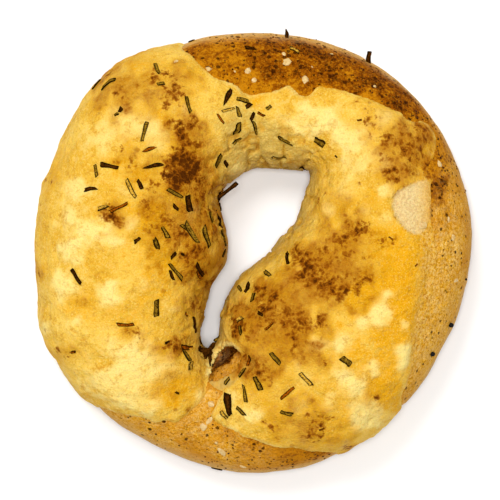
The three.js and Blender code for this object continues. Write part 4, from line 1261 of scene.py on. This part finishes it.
def heading_vector(degrees, rise=0.0):
    """Points to a heading from +X, rising by so much for each unit along."""
    turn = math.radians(degrees)
    return Vector((math.cos(turn), math.sin(turn), rise)).normalized()


def axes_along(forward):
    """Rows that turn a shape lying along X to point forward, with its Z as near up as can be."""
    side = UP.cross(forward).normalized()
    return np.array([forward, side, forward.cross(side)])


def laid_down(places, centre, forward, up, sink):
    """Bends a leaf along X so that it follows the surface under it, sunk in a little."""
    side = up.cross(forward).normalized()
    forward = side.cross(up).normalized()
    ends = np.linspace(places[:, 0].min(), places[:, 0].max(), 7)
    heights = []
    for along in ends:
        start = centre + forward * float(along) + up * 6
        hit = tree().ray_cast(start, -up, 9.0)[0]
        heights.append((hit - centre).dot(up) if hit else -0.4)
    height = np.interp(places[:, 0], ends, np.clip(heights, -1.2, 1.2))
    moved = places.copy()
    moved[:, 2] += height - sink
    return np.array(centre) + moved @ np.array([forward, side, up])


def level_with(up, direction):
    """The direction with what points along the surface's normal taken out."""
    return (direction - up * direction.dot(up)).normalized()


def joined(parts):
    """Several (places, faces, mask) as one."""
    places, faces, mask = [], [], []
    start = 0
    for part_places, part_faces, part_mask in parts:
        places.append(part_places)
        faces += [tuple(start + i for i in face) for face in part_faces]
        mask += list(part_mask)
        start += len(part_places)
    return np.concatenate(places), faces, mask


def numbered(start):
    """The frame's nodes whose names start so, in order, each with its number as written."""
    nodes = sorted(node for node in frame["nodes"] if node.startswith(start))
    return [(node, node.removeprefix(start)) for node in nodes]


def main_axes(node):
    """The middle of a CAD node, its longest direction and its size along it, in millimetres."""
    places = np.array([v.co for v in frame["nodes"][node].data.vertices]) / MM
    low, high = places.min(axis=0), places.max(axis=0)
    middle = (low + high) / 2
    _, _, rows = np.linalg.svd(places - places.mean(axis=0), full_matrices=False)
    spans = [np.ptp((places - middle) @ row) for row in rows]
    return Vector(middle), Vector(rows[0]), spans


def whole_leaf(node, rng):
    """A leaf in the place of its solid, laid on the surface if its solid touches it."""
    middle, forward, (length, width, _) = main_axes(node)
    places, faces, margin = leaf_shape(length, min(width * 1.25, 2.4), rng, node in POINTED)
    surface, up, _, _ = tree().find_nearest(middle)
    if (middle - surface).length < TOUCHING:
        places = laid_down(places, surface, level_with(up, forward), up, LEAF_SINK)
    else:
        places = np.array(middle) + places @ axes_along(forward)
    return places, faces, margin


def leaf_bits():
    """The small, standing and wedged leaves and the charred lumps, as parts by tone."""
    bits = {tone: [] for tone in TONES}
    for i, (x, y, heading, length, width, tone) in enumerate(LEAF_FRAGMENTS):
        places, faces, margin = leaf_shape(length, width, random.Random(FRAGMENT_DRAWS + i))
        centre, up = rest_on(x, y)
        forward = level_with(up, heading_vector(heading))
        bits[tone].append((laid_down(places, centre, forward, up, BIT_SINK), faces, margin))
    for i, (x, y, heading, length, width, tone) in enumerate(STANDING_LEAVES):
        rng = random.Random(STANDING_DRAWS + i)
        places, faces, margin = leaf_shape(length, width, rng, pointed=i == 0)
        places[:, 0] += length * 0.4
        places = places @ axes_along(heading_vector(heading, 0.35))
        bits[tone].append((np.array(rest_on(x, y)[0]) + places, faces, margin))
    for i, (x, y, heading, length, width, tone) in enumerate(WEDGED_LEAVES):
        places, faces, margin = leaf_shape(length, width, random.Random(WEDGED_DRAWS + i))
        places = places @ axes_along(heading_vector(heading))
        bits[tone].append((np.array(rest_on(x, y)[0]) + places, faces, margin))
    for i, (x, y, z, heading, length, width) in enumerate(CHARRED_LUMPS):
        rng = random.Random(LUMP_DRAWS + i)
        places, faces = pebble((length, width, 1.1), rng, 6, 9, 0.3)
        places = (x, y, z) + places @ axes_along(heading_vector(heading))
        bits["dark"].append((places, faces, [0.25] * len(places)))
    return bits


class BAGEL_OT_rosemary(bpy.types.Operator):
    """Lay the cut rosemary where it fell"""

    bl_idname = "bagel.rosemary"
    bl_label = "Rosemary"

    def execute(self, context):
        settings = context.scene.bagel_toppings
        finishes = {SLOTS[tone]: leaf_material(tone, settings) for tone in TONES}
        slot_of = {row["node"]: row["material_slot"] for row in frame["record"]["subparts"]}
        for node, number in numbered("rosemary_leaf_"):
            places, faces, margin = whole_leaf(node, random.Random(int(number)))
            piece = mesh_object(f"rosemary_{number}", places, faces, {"margin": margin})
            hand_over(piece, slot_of[node], finishes[slot_of[node]], node)
        for tone, parts in leaf_bits().items():
            places, faces, margin = joined(parts)
            piece = mesh_object(f"rosemary_bits_{tone}", places, faces, {"margin": margin})
            hand_over(piece, SLOTS[tone], finishes[SLOTS[tone]])
        return {"FINISHED"}


# -------------------------------------------------------------------------- salt, seeds and crumbs


def salt_material(settings):
    material, nodes = new_material("Salt flake")
    here = nodes.here()
    cloudy = nodes.noise(here, 1600.0, 3.0, 0.6)
    shade = scaled(settings.salt, 0.80, 0.68, 0.5)
    nodes.finish(
        nodes.mix(nodes.ramp(cloudy, 0.35, 0.7), settings.salt, shade),
        nodes.ramp(cloudy, 0.3, 0.7, 0.18, 0.4),
        nodes.bump(relief(nodes, here, 1800.0, 0.4), 0.4, 0.0002),
        Specular_IOR_Level=0.3,
        Subsurface_Weight=0.3,
        Subsurface_Radius=(1.0, 0.8, 0.6),
        Subsurface_Scale=0.0006,
    )
    return material


def seed_material(settings):
    material, nodes = new_material("Poppy seed")
    pitted = nodes.cells(nodes.here(), 6500.0)[0]
    tint = nodes.mix(nodes.ramp(pitted, 0.1, 0.6), settings.seed, scaled(settings.seed, 3))
    shine = nodes.ramp(pitted, 0.0, 0.6, 0.5, 0.7)
    nodes.finish(tint, shine, nodes.bump(pitted, 0.8, 0.0001), Specular_IOR_Level=0.05)
    return material


def crumb_material(settings):
    material, nodes = new_material("Toasted crumb")
    here = nodes.here()
    patchy = nodes.noise(here, 700.0, 2.0, 0.5)
    tint = nodes.mix(nodes.ramp(patchy, 0.4, 0.6), settings.crumb, settings.crumb_light)
    shine = nodes.ramp(patchy, 0.3, 0.7, 0.55, 0.75)
    normal = nodes.bump(relief(nodes, here, 2500.0, 0.5), 0.5, 0.0001)
    nodes.finish(tint, shine, normal, Specular_IOR_Level=0.04)
    return material


def pebble(size, rng, rows, around, jitter):
    """A closed, uneven little lump of the given (length, width, thickness)."""
    places = [(0.0, 0.0, -0.5)]
    for i in range(1, rows):
        polar = math.pi * i / rows
        for j in range(around):
            angle = 2 * math.pi * (j + 0.5 * (i % 2)) / around
            out = 0.5 * math.sin(polar) ** 0.6 * (1 + rng.uniform(-jitter, jitter))
            places.append((out * math.cos(angle), out * math.sin(angle), -0.5 * math.cos(polar)))
    places.append((0.0, 0.0, 0.5))
    last, top = 1 + (rows - 2) * around, len(places) - 1
    faces = [(0, 1 + (j + 1) % around, 1 + j) for j in range(around)]
    faces += [(a, d, c, b) for a, b, c, d in tube(1, rows - 1, around)]
    faces += [(last + j, last + (j + 1) % around, top) for j in range(around)]
    return np.array(places) * size, faces


def set_down(places, x, y, heading, lift):
    """Turns a lump to its heading in radians and rests it on the surface under (x, y)."""
    centre, up = rest_on(x, y)
    along = Vector((math.cos(heading), math.sin(heading), 0))
    side = up.cross(along).normalized()
    return np.array(centre + up * lift) + places @ np.array([side.cross(up), side, up])


def in_one(name, lumps, smooth=True):
    """One piece from several (places, faces)."""
    places, faces, _ = joined([(*lump, ()) for lump in lumps])
    return mesh_object(name, places, faces, smooth=smooth)


class BAGEL_OT_salt(bpy.types.Operator):
    """Scatter the salt flakes"""

    bl_idname = "bagel.salt"
    bl_label = "Salt"

    def execute(self, context):
        finish = salt_material(context.scene.bagel_toppings)
        for node, number in numbered("salt_flake_"):
            middle, forward, (length, width, _) = main_axes(node)
            rng = random.Random(FLAKE_DRAWS + int(number))
            places, faces = pebble((length, width, 0.8), rng, 6, 9, 0.22)
            heading = math.atan2(forward.y, forward.x)
            places = set_down(places, middle.x, middle.y, heading, 0.0)
            piece = mesh_object(f"salt_{number}", places, faces, smooth=False)
            hand_over(piece, "salt", finish, node)
        lumps = []
        for i, (x, y, length, width) in enumerate(SALT_FRAGMENTS):
            rng = random.Random(SALT_BIT_DRAWS + i)
            places, faces = pebble((length, width, 0.6), rng, 5, 8, 0.2)
            lumps.append((set_down(places, x, y, rng.uniform(0, math.pi), -0.05), faces))
        hand_over(in_one("salt_bits", lumps, smooth=False), "salt", finish)
        return {"FINISHED"}


class BAGEL_OT_seeds(bpy.types.Operator):
    """Drop the poppy seeds"""

    bl_idname = "bagel.seeds"
    bl_label = "Poppy seeds"

    def execute(self, context):
        finish = seed_material(context.scene.bagel_toppings)
        for node, number in numbered("poppy_seed_"):
            middle, _, spans = main_axes(node)
            size = (max(spans) * 1.2, max(spans) * 1.05, 1.1)
            places, faces = pebble(size, random.Random(3), 8, 12, 0.04)
            surface, up, _, _ = tree().find_nearest(middle)
            places += np.array(surface + up * 0.35)
            hand_over(mesh_object(f"seed_{number}", places, faces), "poppy_seed", finish, node)
        lumps = []
        for x, y, radius in MORE_SEEDS:
            size = (2 * radius, 1.7 * radius, 1.6 * radius)
            places, faces = pebble(size, random.Random(5), 6, 10, 0.05)
            lumps.append((set_down(places, x, y, 0.0, radius * 0.6), faces))
        hand_over(in_one("seed_bits", lumps), "poppy_seed", finish)
        return {"FINISHED"}


class BAGEL_OT_crumbs(bpy.types.Operator):
    """Sprinkle toasted crumbs over the bare crust"""

    bl_idname = "bagel.crumbs"
    bl_label = "Crumbs"

    def execute(self, context):
        settings = context.scene.bagel_toppings
        rng = random.Random(CRUMB_DRAWS)
        edge = curve_through(CHEESE_EDGE)
        lumps = []
        while len(lumps) < settings.crumb_count:
            heading = math.radians(rng.choice(CRUMB_HEADINGS) + rng.uniform(-6, 6))
            radius = rng.uniform(43, 57.2) if rng.random() < 0.6 else rng.uniform(53, 57.4)
            x, y = radius * math.cos(heading), radius * math.sin(heading)
            clear = inside_by(np.array([[x, y]]), edge)[0] < -0.5
            hit = tree().ray_cast(Vector((x, y, DROP_FROM)), DOWN)[0]
            if not clear or hit is None:
                continue
            size = rng.uniform(0.22, 0.62)
            shape = (size, size * rng.uniform(0.6, 1), size * 0.6)
            places, faces = pebble(shape, rng, 4, 5, 0.3)
            lumps.append((set_down(places, x, y, rng.uniform(0, 3), size * 0.1), faces))
        piece = in_one("toasted_crumbs", lumps)
        hand_over(piece, "bread_crust", crumb_material(settings))
        return {"FINISHED"}


# --------------------------------------------------------------------------------------- the stage


# Each lamp's place and size in metres. Its power is the setting of the same name.
LAMPS = {"overhead": ((0.0, 0.0, 3.2), 0.6), "key": ((-0.7, 1.3, 2.7), 1.2)}
# Two near whites, so that the card isn't perfectly even.
CARD_TINTS = ((0.86, 0.86, 0.86), (0.88, 0.88, 0.88))
# The width of the camera's sensor in millimetres, and the (x, y) in metres that it stands over.
SENSOR = 36.0
EYE_OVER = (-0.00065, -0.00013)


class BAGEL_OT_stage(bpy.types.Operator):
    """Set up the floor, the lights and the camera"""

    bl_idname = "bagel.stage"
    bl_label = "Stage"

    def execute(self, context):
        settings = context.scene.bagel_stage
        self.floor(settings.floor_size / MM / 2)
        for name, (place, size) in LAMPS.items():
            self.lamp(name, place, size, getattr(settings, name))
        world = bpy.data.worlds.new("Even light")
        world.use_nodes = True
        background = world.node_tree.nodes["Background"].inputs
        background["Color"].default_value = rgba((1, 1, 1))
        background["Strength"].default_value = settings.sky
        context.scene.world = world
        camera = bpy.data.cameras.new("camera")
        camera.sensor_width = SENSOR
        camera.lens = SENSOR * settings.camera_height / settings.view_width
        camera.clip_end = 100.0
        eye = bpy.data.objects.new("camera", camera)
        eye.location = (*EYE_OVER, settings.widest_line + settings.camera_height)
        context.scene.collection.objects.link(eye)
        context.scene.camera = eye
        context.scene.view_settings.view_transform = "Standard"
        return {"FINISHED"}

    def floor(self, half):
        corners = [(-half, -half, 0), (half, -half, 0), (half, half, 0), (-half, half, 0)]
        card = mesh_object("floor", corners, [(0, 1, 2, 3)])
        material, nodes = new_material("White card")
        here = nodes.here()
        tint = nodes.mix(nodes.noise(here, 3.0), *CARD_TINTS)
        nodes.finish(tint, 0.9, nodes.bump(nodes.noise(here, 900.0), 0.02, 0.0001))
        card.data.materials.append(material)

    def lamp(self, name, place, size, power):
        data = bpy.data.lights.new(name, "AREA")
        data.shape = "DISK"
        data.size = size
        data.energy = power
        made = bpy.data.objects.new(name, data)
        made.location = place
        made.rotation_euler = (-Vector(place)).to_track_quat("-Z", "Y").to_euler()
        bpy.context.scene.collection.objects.link(made)


# -------------------------------------------------------------------------------------- the add-on


class BAGEL_PT_panel(bpy.types.Panel):
    """Buttons for each piece, with its settings"""

    bl_label = "Bagel"
    bl_space_type = "VIEW_3D"
    bl_region_type = "UI"
    bl_category = "Bagel"

    def draw(self, context):
        scene = context.scene
        for operator, settings in STEPS:
            self.layout.operator(operator.bl_idname)
            group = getattr(scene, settings) if settings else None
            for key in type(group).__annotations__ if group else ():
                self.layout.prop(group, key)


STEPS = (
    (BAGEL_OT_stage, "bagel_stage"),
    (BAGEL_OT_crust, "bagel_crust"),
    (BAGEL_OT_cheese, "bagel_cheese"),
    (BAGEL_OT_rosemary, "bagel_toppings"),
    (BAGEL_OT_salt, None),
    (BAGEL_OT_seeds, None),
    (BAGEL_OT_crumbs, None),
)
SETTINGS = {
    "bagel_crust": BagelCrustSettings,
    "bagel_cheese": BagelCheeseSettings,
    "bagel_toppings": BagelToppingSettings,
    "bagel_stage": BagelStageSettings,
}


def register():
    for name, group in SETTINGS.items():
        bpy.utils.register_class(group)
        setattr(bpy.types.Scene, name, PointerProperty(type=group))
    for operator, _ in STEPS:
        bpy.utils.register_class(operator)
    bpy.utils.register_class(BAGEL_PT_panel)


def unregister():
    bpy.utils.unregister_class(BAGEL_PT_panel)
    for operator, _ in reversed(STEPS):
        bpy.utils.unregister_class(operator)
    for name, group in SETTINGS.items():
        delattr(bpy.types.Scene, name)
        bpy.utils.unregister_class(group)


def main():
    register()
    bpy.ops.bagel.stage()
    bpy.ops.bagel.crust()
    bpy.ops.bagel.cheese()
    bpy.ops.bagel.rosemary()
    bpy.ops.bagel.salt()
    bpy.ops.bagel.seeds()
    bpy.ops.bagel.crumbs()


if __name__ == "__main__":
    main()
